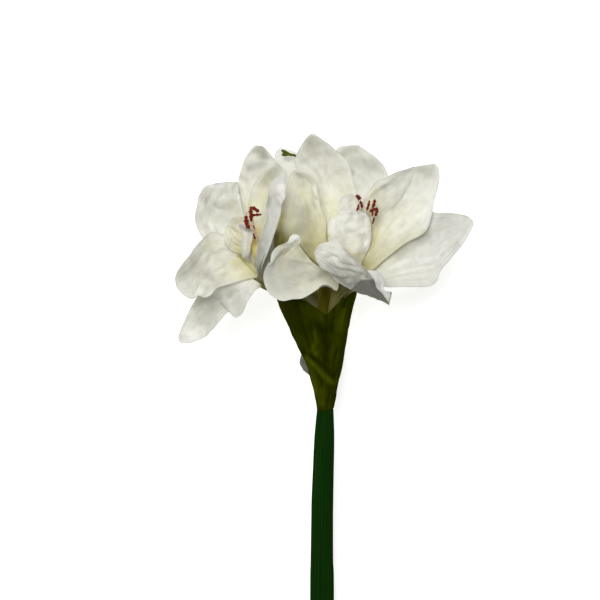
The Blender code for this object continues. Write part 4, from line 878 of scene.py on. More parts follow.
# Its length and mean radius in mm, on which its soft dents are laid out
SHEATH_LENGTH = 92
SHEATH_RADIUS = 26
# Its foot: steps down the grid, and how many steps its right side is higher
SHEATH_FOOT = 410.0
SHEATH_FOOT_LIFT = 2.5
# Its top edge: steps down the grid and angle of the notch in front, how many steps it rises from
# there and over which share of the half width, to the right and to the left, and the notch behind
SHEATH_NOTCH = 315.0
SHEATH_NOTCH_ANGLE = 1.28
SHEATH_FRONT_RISE = ((15.5, 0.64), (24.0, 0.6))
SHEATH_BACK_NOTCH = 16.0
# Its veins: count round it and height in mm. Height in mm of its dents, and the share of its length
# over which both grow in from the foot
SHEATH_VEINS = (34, -0.16)
SHEATH_DENTS = 0.8
SHEATH_FADE = 0.12
# How suddenly folds and shades end at its sides, so that they lie in its front only
SHEATH_FRONT_FADE = 3
# Folds in its front: a line of layout points, its width in steps and its height in mm
SHEATH_FOLDS = (
    (((319, 321), (317, 336), (315, 352)), 3.6, 1.3),
    (((311, 352), (314, 354), (318, 352)), 2.6, 0.8),
    (((305, 356), (312, 362), (322, 368), (333, 378)), 3.0, -0.9),
    (((306, 362), (316, 372), (331, 384)), 3.4, 0.7),
    (((345, 305), (342, 316), (338, 330), (339, 345)), 2.6, 1.0),
    (((330, 322), (332, 335), (330, 350)), 3.0, -1.0),
    (((303, 334), (304, 342), (309, 352)), 2.6, -0.9),
    (((318, 384), (320, 396), (321, 408)), 2.0, 0.5),
)
# Brown corner of its dye, and painted light on its ridges and painted shade in its hollows and under the
# petals: a line, its reach in steps, its strength
SHEATH_BROWN = (((281, 300), (286, 312)), 5.0)
SHEATH_PAINTED_LIGHT_AND_SHADE = {
    "pale": (
        (((314.8, 332), (316.6, 341), (313, 349)), 2.4, 0.3),
        (((316.5, 352), (316.5, 355)), 2.0, 0.6),
        (((307, 357), (314, 364)), 2.4, 0.5),
        (((314, 364), (323.5, 375), (332, 382)), 2.4, 0.35),
        (((344, 311), (340, 329)), 3.0, 0.35),
        (((322, 390), (322, 404)), 3.0, 0.3),
        (((307, 366), (312, 378), (316, 392)), 4.0, 0.35),
    ),
    "deep": (
        (((311, 356), (320, 363), (332, 375)), 3.0, 0.6),
        (((326, 330), (326, 360)), 3.4, 0.7),
        (((331, 326), (331, 332)), 3.0, 0.8),
        (((290, 312), (304, 330)), 11.0, 0.5),
    ),
}

# Studio: half the floor's width, the floor's own glow, the soft box and the light from all round
FLOOR_HALF = 3.0
PAPER_GLOW = 0.6
KEY_PLACE = (-0.26, 0.7, 1.66)
KEY_TARGET = (-0.0227, 0.21409, 0.08)
KEY_SIZE = 0.9
KEY_POWER = 21.6
AIR_GLOW = 0.27
SENSOR_WIDTH = 36.0


def places(points):
    """Layout points (right, down, height in mm) as metres, spread as seen from the view point."""
    points = np.asarray(points, dtype=float)
    height = points[..., 2] * MM
    spread = STEP * (VIEW_HEIGHT - height) / (VIEW_HEIGHT - LAYOUT_HEIGHT)
    across = MIDDLE_AT[0] + (points[..., 0] - MIDDLE) * spread
    up = MIDDLE_AT[1] + (MIDDLE - points[..., 1]) * spread
    return np.stack([across, up, height], axis=-1)


def layout_of(grid):
    """Layout steps (right, down) of places in metres: the reverse of places."""
    spread = STEP * (VIEW_HEIGHT - grid[..., 2]) / (VIEW_HEIGHT - LAYOUT_HEIGHT)
    right = MIDDLE + (grid[..., 0] - MIDDLE_AT[0]) / spread
    down = MIDDLE - (grid[..., 1] - MIDDLE_AT[1]) / spread
    return np.stack([right, down], axis=-1)


def smooth_through(rows, parts):
    """Rows of numbers on a smooth (Catmull-Rom) curve through the given rows."""
    rows = np.asarray(rows, dtype=float)
    padded = np.concatenate([[2 * rows[0] - rows[1]], rows, [2 * rows[-1] - rows[-2]]])
    a, b, c, d = (padded[i:len(rows) - 1 + i, None, :] for i in range(4))
    t = (np.arange(parts) / parts)[None, :, None]
    curve = 0.5 * (2 * b + (c - a) * t + (2 * a - 5 * b + 4 * c - d) * t**2
                   + (3 * b - a - 3 * c + d) * t**3)
    return np.concatenate([curve.reshape(-1, rows.shape[1]), rows[-1:]])


def unit(vector):
    """The vector at length one."""
    vector = np.asarray(vector, dtype=float)
    return vector / np.maximum(np.linalg.norm(vector, axis=-1, keepdims=True), 1e-12)


def bell(distance, width):
    """A smooth bump: 1 at no distance, falling as exp(-(distance / width) squared)."""
    return np.exp(-((distance / width) ** 2))


def ease(value):
    """Clips to 0..1 and smooths both ends, as 3 v^2 - 2 v^3."""
    value = np.clip(value, 0.0, 1.0)
    return value * value * (3 - 2 * value)


def ripples(u, v, seed, waves=DENT_WAVES):
    """Soft dents: sums of sine waves of given length and height, each turned and shifted at random."""
    draw = np.random.default_rng(seed)
    total = np.zeros(np.broadcast(u, v).shape)
    for length, height in waves:
        for _ in range(4):
            turn, start = draw.uniform(0, np.pi), draw.uniform(0, 2 * np.pi)
            phase = 2 * np.pi * (np.cos(turn) * u + np.sin(turn) * v) / length + start
            total += height * np.sin(phase) * draw.uniform(0.5, 1.0)
    return total


def line_distance(spots, line):
    """Distance of each spot from the nearest point of a line of straight runs."""
    line = np.asarray(line, dtype=float)
    nearest = np.linalg.norm(spots - line[0], axis=-1)
    for start, end in zip(line[:-1], line[1:]):
        run = end - start
        share = np.clip(((spots - start) @ run) / (run @ run), 0, 1)
        gap = np.linalg.norm(spots - start - share[..., None] * run, axis=-1)
        nearest = np.minimum(nearest, gap)
    return nearest


def inside_patch(spots, corners):
    """1 inside a convex patch and 0 outside: the largest signed distance from its sides, softened
    over a narrow border. The corners run clockwise as seen."""
    corners = np.asarray(corners, dtype=float)
    furthest = np.full(spots.shape[:-1], -np.inf)
    for start, end in zip(corners, np.roll(corners, -1, axis=0)):
        along = unit(end - start)
        beyond = (spots - start) @ np.array([along[1], -along[0]])
        furthest = np.maximum(furthest, beyond)
    return ease(0.5 - furthest / (2 * PATCH_BORDER))


def mound(spots, middle, reach):
    """A round or oval bump: a bell of the distance from its middle, with a reach for each way."""
    away = np.linalg.norm((spots - np.array(middle)) / np.array(reach), axis=-1)
    return bell(away, 1.0)


def normals_of(grid):
    """Unit normals of a grid of points, from the cross product of its two directions."""
    return unit(np.cross(np.gradient(grid, axis=0), np.gradient(grid, axis=1)))


def lengths_along(grid):
    """Distance in mm from the first row, along the middle column, for each row."""
    middle = grid[:, grid.shape[1] // 2]
    steps = np.linalg.norm(np.diff(middle, axis=0), axis=1)
    return np.concatenate([[0.0], np.cumsum(steps)])[:, None] / MM


def widths_across(grid):
    """Distance in mm from one edge of a grid to the other, for each row."""
    return np.linalg.norm(grid[:, -1] - grid[:, 0], axis=1)[:, None] / MM


def throat_of(bloom):
    """The floor of a bloom's throat in metres, and the way the bloom faces."""
    return places(TUBES[bloom][-1][:3]), unit(FACINGS[bloom])


def make_piece(name, node, look, shape, marks=None):
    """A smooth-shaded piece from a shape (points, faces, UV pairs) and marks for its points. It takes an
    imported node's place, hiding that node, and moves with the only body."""
    points, faces, uv = shape
    mesh = bpy.data.meshes.new(name)
    mesh.from_pydata(points.tolist(), [], [list(face) for face in faces])
    corners = np.zeros(len(mesh.loops), dtype=np.int32)
    mesh.loops.foreach_get("vertex_index", corners)
    layer = mesh.uv_layers.new(name="surface")
    layer.data.foreach_set("uv", uv[corners].astype(np.float32).ravel())
    for mark, values in (marks or {}).items():
        store = mesh.attributes.new(mark, "FLOAT", "POINT")
        store.data.foreach_set("value", values.astype(np.float32))
    mesh.materials.append(look)
    mesh.shade_smooth()
    mesh.update()
    piece = bpy.data.objects.new(name, mesh)
    bpy.context.scene.collection.objects.link(piece)
    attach(piece, "root")
    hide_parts(node)


def grid_faces(index):
    """Four-cornered faces between neighbouring rows and columns of a grid of point numbers."""
    a, b = index[:-1, :-1].ravel(), index[1:, :-1].ravel()
    c, d = index[1:, 1:].ravel(), index[:-1, 1:].ravel()
    return np.stack([a, b, c, d], axis=1)


def ring_index(rows, corners):
    """Point numbers of rings, with each ring's first point again at its end, so that it closes."""
    index = np.arange(rows * corners).reshape(rows, corners)
    return np.concatenate([index, index[:, :1]], axis=1)


def close_blade(middle, normal, half):
    """Points and faces of a thin sheet: both faces leave a middle surface along its normal by the
    half thickness and share the points of the rim, so that the edge is round and closed."""
    rows, cols = middle.shape[:2]
    top = np.arange(rows * cols).reshape(rows, cols)
    inner = np.zeros((rows, cols), dtype=bool)
    inner[1:-1, 1:-1] = True
    under = top.copy()
    under[inner] = rows * cols + np.arange(inner.sum())
    lift = np.where(inner, half, 0.0)[..., None]
    upper = (middle + normal * lift).reshape(-1, 3)
    lower = (middle - normal * lift)[inner]
    faces = np.concatenate([grid_faces(top), grid_faces(under)[:, ::-1]])
    return np.concatenate([upper, lower]), faces, inner


def on_both_faces(values, inner):
    """Values of a sheet's grid for the points of its upper face and then of its lower one."""
    return np.concatenate([values.reshape(-1, *values.shape[2:]), values[inner]])


def blade_rows(spec, bloom):
    """Edge points and rib drops in metres along a petal, with two rows that root it in the tube."""
    rows = np.asarray(spec["rows"], dtype=float)
    left, right, drop = places(rows[:, 0:3]), places(rows[:, 3:6]), rows[:, 6:7] * MM
    if not spec["rooted"]:
        return smooth_through(np.concatenate([left, right, drop], axis=1), spec["lines"] // len(rows))
    throat, facing = throat_of(bloom)
    out = (left[0] + right[0]) / 2 - throat
    out = unit(out - facing * np.dot(out, facing))
    side = unit(np.cross(facing, out))
    side = side * np.sign(np.dot(right[0] - left[0], side))
    root = throat - facing * ROOT_DEPTH * MM + out * ROOT_RING * MM
    rim = throat + out * spec["rim_ring"] * MM
    root_half, rim_half = side * spec["root_half"] * MM, side * spec["rim_half"] * MM
    left = np.concatenate([[root - root_half, rim - rim_half], left])
    right = np.concatenate([[root + root_half, rim + rim_half], right])
    drop = np.concatenate([np.zeros((2, 1)), drop])
    parts = round(spec["lines"] / len(left))
    return smooth_through(np.concatenate([left, right, drop], axis=1), parts)


def blade_surface(spec, bloom):
    """Middle surface of a petal: between its two edges runs a bowed or creased line, and the edges
    rise and fall as sine waves that fade towards the rib. Gives the surface and, for its rows, the
    share s of the way to the tip, and for its columns the place t from -1 at one edge to 1."""
    rows = blade_rows(spec, bloom)
    left, right, drop = rows[:, None, 0:3], rows[:, None, 3:6], rows[:, None, 6]
    even = np.linspace(-1, 1, spec["across"] + 1)[None, :]
    t = EDGE_CROWD * np.sin(even * np.pi / 2) + (1 - EDGE_CROWD) * even
    s = np.linspace(0, 1, len(rows))[:, None]
    bow = (1 - spec["fold"]) * t**2 + spec["fold"] * np.sqrt(t**2 + RIB_ROUND)
    grid = (left + right) / 2 + t[..., None] * (right - left) / 2
    height, count, start = spec["wave"]
    wave = np.sin(2 * np.pi * (count * s + start + WAVE_SHIFT * np.tanh(WAVE_TURN * t)))
    wave = wave * np.abs(t) ** 3 * np.sin(np.pi * s) ** 0.7
    grid[..., 2] += -drop * (1 - bow) + height * MM * wave
    return grid, s, t


def lifted(grid, lifts):
    """The grid with broad bumps added straight to its heights. Each point moves along the line to
    the view point, so the outline stays in its place."""
    spots = layout_of(grid)
    height = grid[..., 2] / MM
    for middle, reach, rise in lifts:
        height = height + rise * mound(spots, middle, reach)
    return places(np.concatenate([spots, height[..., None]], axis=-1))


def pressed_ribs(s, t, seed, count, depth):
    """Lengthwise grooves at uneven places: narrow bells across the petal that sway along it."""
    outermost, width, sway_width = 0.9, 0.45 / count, 0.03
    draw = np.random.default_rng(500 + seed)
    total = 0 * (s + t)
    for place in np.linspace(-outermost, outermost, count):
        place = place + draw.uniform(-0.5, 0.5) / count
        sway = sway_width * np.sin(2 * np.pi * (draw.uniform(0.5, 1.2) * s + draw.uniform()))
        total = total - depth * draw.uniform(0.3, 1.0) * bell(t - place - sway, width)
    return total


def kinks(u, v, seed, length, depth):
    """Kinks of crumpled cloth: narrow valleys where bent sine waves cross zero."""
    bends = ((2.3 * length, 0.35),)
    draw = np.random.default_rng(900 + seed)
    total = 0 * (u + v)
    for number in range(4):
        turn, start = draw.uniform(0, np.pi), draw.uniform(0, np.pi)
        bend = ripples(u, v, seed + 31 * number, bends)
        phase = np.pi * (np.cos(turn) * u + np.sin(turn) * v) / length + start + bend
        total = total - depth * draw.uniform(0.4, 1.0) * (1 - np.abs(np.sin(phase))) ** 3
    return total


def blade_relief(spec, grid, s, t, seed):
    """Height in metres of a petal's small forms: ribs, dents, kinks, creases, folds and mounds. A
    crease is a bell of the distance from its line, and a fold falls as exp(-distance / width)."""
    width = widths_across(grid)
    u, v = t * width / 2, lengths_along(grid) + 0 * t
    fade = ease(s / ROOT_FADE) * ease((1 - s) / TIP_FADE)
    relief = pressed_ribs(s, t, seed, *spec["ribs"]) * fade * ease(width / RIB_WIDTH)
    relief = relief + spec["dents"] * ripples(u, v, seed) * fade * ease(width / DENT_WIDTH)
    relief = relief + kinks(u, v, seed, *spec["crumple"]) * ease(s / KINK_FADE)
    spots = layout_of(grid)
    for line, reach, height in spec["creases"]:
        relief = relief + height * bell(line_distance(spots, line), reach)
    for line, reach, height in spec["folds"]:
        relief = relief + height * np.exp(-line_distance(spots, line) / reach)
    for middle, reach, height in spec["mounds"]:
        relief = relief + height * mound(spots, middle, reach)
    return relief * MM


def petal_marks(spec, grid, t, bloom):
    """How strong each tint is on a petal, and the thin line of painted shade along its cut edge. A tint
    is the strongest of what spreads from the throat, what lies round its dyed lines and what fills its
    patches, from 0 to 1."""
    throat, _ = throat_of(bloom)
    away = np.linalg.norm(grid - throat, axis=-1) / MM
    spots = layout_of(grid)
    marks = {}
    for tint in TINTS:
        amount, reach = spec.get(tint, (0.0, 1.0))
        marks[tint] = amount * bell(away, reach)
    for tint, line, reach, strength, *crisp in spec["dyes"]:
        power = crisp[0] if crisp else 2
        value = strength * np.exp(-((line_distance(spots, line) / reach) ** power))
        marks[tint] = np.maximum(marks[tint], value)
    for tint, corners, strength in spec["patches"]:
        marks[tint] = np.maximum(marks[tint], strength * inside_patch(spots, corners))
    # Painted shade: a thin darker line along the cut edge, where petals overlap
    along = lengths_along(grid)
    rim = np.minimum((1 - np.abs(t)) * widths_across(grid) / 2, along[-1] - along)
    marks["painted_edge_shade"] = spec["painted_edge_shade"] * bell(rim, EDGE_SHADE_WIDTH)
    return marks


def petal_piece(name, spec, bloom, look, seed):
    """One petal: its surface with its relief, made a thin closed sheet, with its tints marked."""
    grid, s, t = blade_surface(spec, bloom)
    grid = lifted(grid, spec["lifts"])
    normal = normals_of(grid)
    if np.mean(normal[..., 2]) < 0:
        normal = -normal
    grid = grid + normal * blade_relief(spec, grid, s, t, seed)[..., None]
    half = PETAL_THICK * MM / 2 * (1 - EDGE_THINNING * np.abs(t) ** 6) * (1 - TIP_THINNING * s**8)
    points, faces, inner = close_blade(grid, normals_of(grid), half)
    uv = np.stack(np.broadcast_arrays((t + 1) / 2, lengths_along(grid) / UV_SPAN), axis=-1)
    marks = {mark: on_both_faces(values, inner)
             for mark, values in petal_marks(spec, grid, t, bloom).items()}
    shape = points, faces, on_both_faces(uv, inner)
    make_piece(name, "perianth_" + bloom, look, shape, marks)


def frames_along(line):
    """Two directions square to a line at each of its points, turning as little as they can."""
    ahead = unit(np.gradient(line, axis=0))
    side = np.cross(ahead[0], (0.0, 0.0, 1.0))
    if np.linalg.norm(side) < 0.1:
        side = np.cross(ahead[0], (1.0, 0.0, 0.0))
    sides = []
    for direction in ahead:
        side = unit(side - direction * np.dot(side, direction))
        sides.append(side)
    sides = np.array(sides)
    return sides, np.cross(ahead, sides)


def pipe(line, radii, corners, relief=None):
    """A closed round rod: circles of the given radii, in metres, carried along a line, with a relief
    in mm added to the radius for each corner and ring. Gives points, faces and UV pairs."""
    side, up = frames_along(line)
    turn = np.arange(corners) * 2 * np.pi / corners
    ring = np.cos(turn)[None, :, None] * side[:, None] + np.sin(turn)[None, :, None] * up[:, None]
    size = radii[:, None] + (relief(turn, np.arange(len(line))[:, None]) * MM if relief else 0)
    points = (line[:, None] + ring * size[..., None]).reshape(-1, 3)
    closed = ring_index(len(line), corners)
    faces = [list(face) for face in grid_faces(closed)[:, ::-1]]
    faces += [list(closed[0, -2::-1]), list(closed[-1, :-1])]
    steps = np.concatenate([[0.0], np.cumsum(np.linalg.norm(np.diff(line, axis=0), axis=1))]) / MM
    uv = np.stack(np.broadcast_arrays(turn[None, :] / (2 * np.pi), steps[:, None] / UV_SPAN), axis=-1)
    return points, faces, uv.reshape(-1, 2)


def joined(shapes):
    """Several shapes (points, faces, UV pairs) as one."""
    points, faces, pairs, start = [], [], [], 0
    for shape_points, shape_faces, shape_uv in shapes:
        points.append(shape_points)
        pairs.append(shape_uv)
        faces += [[corner + start for corner in face] for face in shape_faces]
        start += len(shape_points)
    return np.concatenate(points), faces, np.concatenate(pairs)


def stem_height(down):
    """Height in mm of the stem's axis, which rises from its cut end to the blooms."""
    return STEM_END_HEIGHT + STEM_RISE * (STEM_LINE[0][0] - down)


def stem_piece(look):
    """The long stem: circles along its axis, with fine cosine ribs and slow sine swellings. Its neck
    and the three stalks are plain rods."""
    spots = np.array([(right, down, stem_height(down), radius) for down, right, radius in STEM_LINE])
    spots = smooth_through(spots, PARTS["stem"])

    def ribs(turn, ring):
        grooves = sum(height * np.cos(count * turn + start) for count, height, start in STEM_RIBS)
        height, rings, lag = STEM_SWELL
        return grooves - STEM_SINK + height * np.sin(ring / rings + lag * np.sin(turn))

    shapes = [pipe(places(spots[:, :3]), spots[:, 3] * MM, ROUND["stem"], ribs)]
    neck = places([(STEM_LINE[-1][1], down, stem_height(down)) for down in NECK_DOWN])
    shapes.append(pipe(neck, np.full(len(neck), NECK_RADIUS * MM), ROUND["stalk"]))
    for stalk in STALKS.values():
        way = smooth_through(places(stalk), PARTS["stalk"])
        shapes.append(pipe(way, np.full(len(way), STALK_RADIUS * MM), ROUND["stalk"]))
    make_piece("stem_skin", "stem", look, joined(shapes))


def tube_piece(bloom, look):
    """The tube of a bloom: circles along its way, swelling to the throat, with six soft lobes that grow
    with the share of the way. Its mark says how far its cloth turns from olive to a greyish taupe."""
    stalk = smooth_through(places(STALKS[bloom]), PARTS["stalk_end"])
    foot = stalk[-1] + unit(stalk[-1] - stalk[-2]) * SEAT_GAP * MM
    points = np.array(TUBES[bloom], dtype=float)
    centres = np.concatenate([[foot], places(points[:, :3])])
    radii = np.concatenate([[STALK_RADIUS], points[:, 3]]) * MM
    floor, facing = throat_of(bloom)
    centres[-1] = floor - facing * TUBE_LIP * MM
    rows = smooth_through(np.concatenate([centres, radii[:, None]], axis=1), PARTS["tube"])
    rows = np.concatenate([rows, [np.append(floor, radii[-1])]])

    def lobes(turn, ring):
        return sum(tall * np.cos(count * turn) for count, tall in TUBE_LOBES) * ring / ring[-1]

    shape = pipe(rows[:, :3], rows[:, 3], ROUND["tube"], lobes)
    share = shape[2][:, 1] / shape[2][:, 1].max()
    start, growth = TUBE_GREY[bloom]
    marks = {"rise": start + growth * share**2}
    make_piece("tube_" + bloom, "perianth_" + bloom, look, shape, marks)


def seat(bloom, shift):
    """A point just clear of the throat's floor, shifted from its middle by some millimetres."""
    throat, facing = throat_of(bloom)
    aside = unit(np.cross(facing, (1.0, 0.0, 0.0)))
    return throat + facing * SEAT_GAP * MM + aside * shift * MM


def pollen_head(way, radius, number):
    """A pollen head: a rod with blunt ends, a few lumps as sums of sine waves and random grains."""
    body = smooth_through(places(way), PARTS["pollen"])
    share = np.linspace(0, 1, len(body))
    width = np.sqrt(np.clip(1 - np.abs(2 * share - 1) ** POLLEN_BLUNT, POLLEN_END, 1))
    swell = sum(weight * np.sin(share * turns + shift * number) for turns, shift, weight in POLLEN_WAVES)
    width = width * (1 + POLLEN_LUMPS * swell)

    def grains(turn, ring):
        return np.random.default_rng(70 + number).normal(*POLLEN_GRAINS, (len(ring), len(turn)))

    return pipe(body, width * radius * MM, ROUND["pollen"], grains)


def stamen_pieces(bloom, filament_look, pollen_look):
    """Filaments from a small pad, and on each a pollen head that hangs across its end."""
    low = seat(bloom, PAD_SHIFTS[bloom])
    rise = throat_of(bloom)[1] * PAD_HEIGHT * MM
    share, width = np.array(PAD_PROFILE).T
    filaments = [pipe(low + rise * share[:, None], width * PAD_RADIUS * MM, ROUND["pad"])]
    heads = []
    for number, (way, head, radius) in enumerate(STAMENS[bloom]):
        points = np.concatenate([[low + rise / 2], places(way), places(head[:1])])
        line = smooth_through(points, PARTS["filament"])
        slim = np.linspace(*FILAMENT_TAPER, len(line)) * FILAMENT_RADIUS * MM
        filaments.append(pipe(line, slim, ROUND["filament"]))
        heads.append(pollen_head(head, radius, number))
    node = "stamens_" + bloom
    make_piece("filaments_" + bloom, node, filament_look, joined(filaments))
    make_piece("pollen_heads_" + bloom, node, pollen_look, joined(heads))


def pistil_piece(look):
    """The long style of the bloom underneath and its parted tip: rods that swell to round ends."""
    foot = seat("back", STYLE_SHIFT)
    above = foot + throat_of("back")[1] * STYLE_RISE * MM
    curve = smooth_through(np.concatenate([[above], places(PISTIL_LINE)]), PARTS["pistil"])
    line = np.concatenate([[foot], curve])
    power, most = STYLE_SWELL
    grow = most * np.linspace(0, 1, len(line)) ** power
    radii = (STYLE_RADIUS + (STIGMA_RADIUS - STYLE_RADIUS) * grow) * MM
    shapes = [pipe(line, radii, ROUND["pistil"])]
    ring, back = FORK
    fork = line[-1] + (line[-ring] - line[-1]) * back
    share = np.linspace(0, 1, STIGMA_RINGS)
    width = STIGMA_NARROW + (1 - STIGMA_NARROW) * ease(share * 1.25)
    past = np.clip(share - STIGMA_CLOSES, 0, 1) / (1 - STIGMA_CLOSES)
    width = width * np.sqrt(np.clip(1 - past**2, 0.01, 1))
    for end in STIGMA_ENDS:
        way = fork + (places(end) - fork) * share[:, None]
        shapes.append(pipe(way, width * STIGMA_RADIUS * MM, ROUND["pistil"]))
    make_piece("pistil_style", "pistil_back", look, joined(shapes))


def sheath_top(turn):
    """Grid steps down of the sheath's top edge: a straight-sided notch in front, and behind a level
    edge with a notch that closes in proportion to the angle."""
    side = np.where(np.cos(turn) < np.cos(SHEATH_NOTCH_ANGLE), 0, 1)
    height, reach = np.array(SHEATH_FRONT_RISE)[side].T
    across = np.abs(np.cos(turn) - np.cos(SHEATH_NOTCH_ANGLE))
    front = SHEATH_NOTCH - height * np.clip(across / reach, 0, 1)
    away = np.abs(np.angle(np.exp(1j * (turn + np.pi / 2)))) / (np.pi / 2)
    level = np.where(np.cos(turn) < 0, *(SHEATH_NOTCH - rise for rise, _ in SHEATH_FRONT_RISE))
    behind = level + SHEATH_BACK_NOTCH * np.clip(1 - away, 0, 1)
    return np.where(turn < np.pi, front, behind)


def sheath_middle():
    """Middle surface of the sheath: flattened rings up the stem that widen to the notched edge. Its
    foot is square to the stem and a little higher at the right."""
    stations = np.array(SHEATH_STATIONS)[::-1].T
    turn = np.arange(SHEATH_ROUND) * 2 * np.pi / SHEATH_ROUND
    share = np.linspace(0, 1, SHEATH_ALONG + 1)[:, None]
    foot = SHEATH_FOOT + np.sin(turn) - SHEATH_FOOT_LIFT * np.clip(np.cos(turn), 0, 1)
    down = foot + share * (sheath_top(turn) - foot)
    middle, wide, deep = (np.interp(down, stations[0], values) for values in stations[1:])
    inset = SHEATH_THICK / 2
    right = middle + np.cos(turn) * (wide - inset * MM / STEP)
    height = stem_height(down) + np.sin(turn) * (deep - inset)
    return places(np.stack([right, down, height], axis=-1)), share, turn


def sheath_piece(look):
    """The sheath: its middle surface with cosine veins, folds and dents, given two skins and a thin
    edge. Its marks say where its dye is brown, where painted light lies on its ridges, where painted
    shade lies in its hollows and under the petals, and where its inside is."""
    grid, share, turn = sheath_middle()
    wrapped = np.concatenate([grid[:, -2:], grid, grid[:, :2]], axis=1)
    normal = normals_of(wrapped)[:, 2:-2]
    if np.sum(normal[0, :, 0] * np.cos(turn)) < 0:
        normal = -normal
    spots = layout_of(grid)
    front = ease(np.sin(turn) * SHEATH_FRONT_FADE)[None, :]
    count, height = SHEATH_VEINS
    veins = height * ((1 + np.cos(count * turn)) / 2) ** 3
    round_x, round_y = np.cos(turn) * SHEATH_RADIUS, np.sin(turn) * SHEATH_RADIUS
    dents = SHEATH_DENTS * ripples(round_x[None, :], share * SHEATH_LENGTH + round_y[None, :], 5)
    relief = (veins[None, :] + dents) * ease(share / SHEATH_FADE)
    for line, reach, height in SHEATH_FOLDS:
        relief = relief + height * bell(line_distance(spots, line), reach) * front
    grid = grid + normal * (relief * MM)[..., None]
    half = SHEATH_THICK / 2 * MM * (1 - SHEATH_THINNING * share**10)[..., None]
    skins = [(grid + side * normal * half).reshape(-1, 3) for side in (1, -1)]
    rows, points = len(grid), len(skins[0])
    closed = ring_index(rows, len(turn))
    edges = [np.stack([closed[row, :-1], closed[row, 1:], closed[row, 1:] + points,
                       closed[row, :-1] + points], axis=1) for row in (0, rows - 1)]
    faces = np.concatenate([grid_faces(closed), grid_faces(closed)[:, ::-1] + points,
                            edges[0], edges[1][:, ::-1]])
    uv = np.stack(np.broadcast_arrays(turn[None, :] / (2 * np.pi), share), axis=-1).reshape(-1, 2)
    line, reach = SHEATH_BROWN
    marks = {"edge": bell(line_distance(spots, line), reach) * share**4}
    for mark, shades in SHEATH_PAINTED_LIGHT_AND_SHADE.items():
        marks[mark] = 0 * marks["edge"]
        for line, reach, strength in shades:
            value = strength * bell(line_distance(spots, line), reach) * front
            marks[mark] = np.maximum(marks[mark], value)
    marks = {mark: np.tile(values.ravel(), 2) for mark, values in marks.items()}
    marks["inside"] = np.repeat([0.0, 1.0], points)
    shape = np.concatenate(skins), faces, np.tile(uv, (2, 1))
    make_piece("sheath_leaf", "spathe", look, shape, marks)


def linear(colour):
    """An sRGB hex colour as linear red, green, blue and alpha."""
    parts = [int(colour[i:i + 2], 16) / 255 for i in (1, 3, 5)]
    return [v / 12.92 if v <= 0.04045 else ((v + 0.055) / 1.055) ** 2.4 for v in parts] + [1.0]


def add(tree, kind, values=None, **settings):
    """Adds a node with its settings; a value that is another node's socket is linked."""
    made = tree.nodes.new(kind)
    for name, value in settings.items():
        setattr(made, name, value)
    for socket, value in (values or {}).items():
        if isinstance(value, bpy.types.NodeSocket):
            tree.links.new(value, made.inputs[socket])
        else:
            made.inputs[socket].default_value = value
    return made


def blank(name, roughness, specular):
    """A new material's node tree and its shader, with its roughness and how much it mirrors."""
    look = bpy.data.materials.new(name)
    look.use_nodes = True
    shader = look.node_tree.nodes["Principled BSDF"]
    shader.inputs["Roughness"].default_value = roughness
    shader.inputs["Specular IOR Level"].default_value = specular
    return look, look.node_tree, shader


def lay_dyes(tree, shader, ground, layers):
    """Lays dyes over a ground colour, one after another, and gives the shader the result. A layer is
    a share (one of the piece's marks by its name, or a pattern), a colour and a way to blend."""
    colour = linear(ground)
    for share, dye, way in layers:
        if isinstance(share, str):
            share = add(tree, "ShaderNodeAttribute", attribute_name=share).outputs["Fac"]
        colour = add(tree, "ShaderNodeMix", {0: share, 6: colour, 7: linear(dye)},
                     data_type="RGBA", blend_type=way).outputs[2]
    tree.links.new(colour, shader.inputs["Base Color"])


def long_streaks(tree, size, spans, detail):
    """Noise drawn long on a piece's own UV pair. size: width and length of a streak in mm. spans: how
    many mm the pair's first number covers across the piece and its second along it."""
    uv = add(tree, "ShaderNodeUVMap", uv_map="surface")
    scale = (spans[0] / size[0], spans[1] / size[1], 1.0)
    laid = add(tree, "ShaderNodeMapping", {"Vector": uv.outputs[0], "Scale": scale})
    noise = add(tree, "ShaderNodeTexNoise", {"Vector": laid.outputs[0], "Scale": 1.0, "Detail": detail})
    return noise.outputs[0]


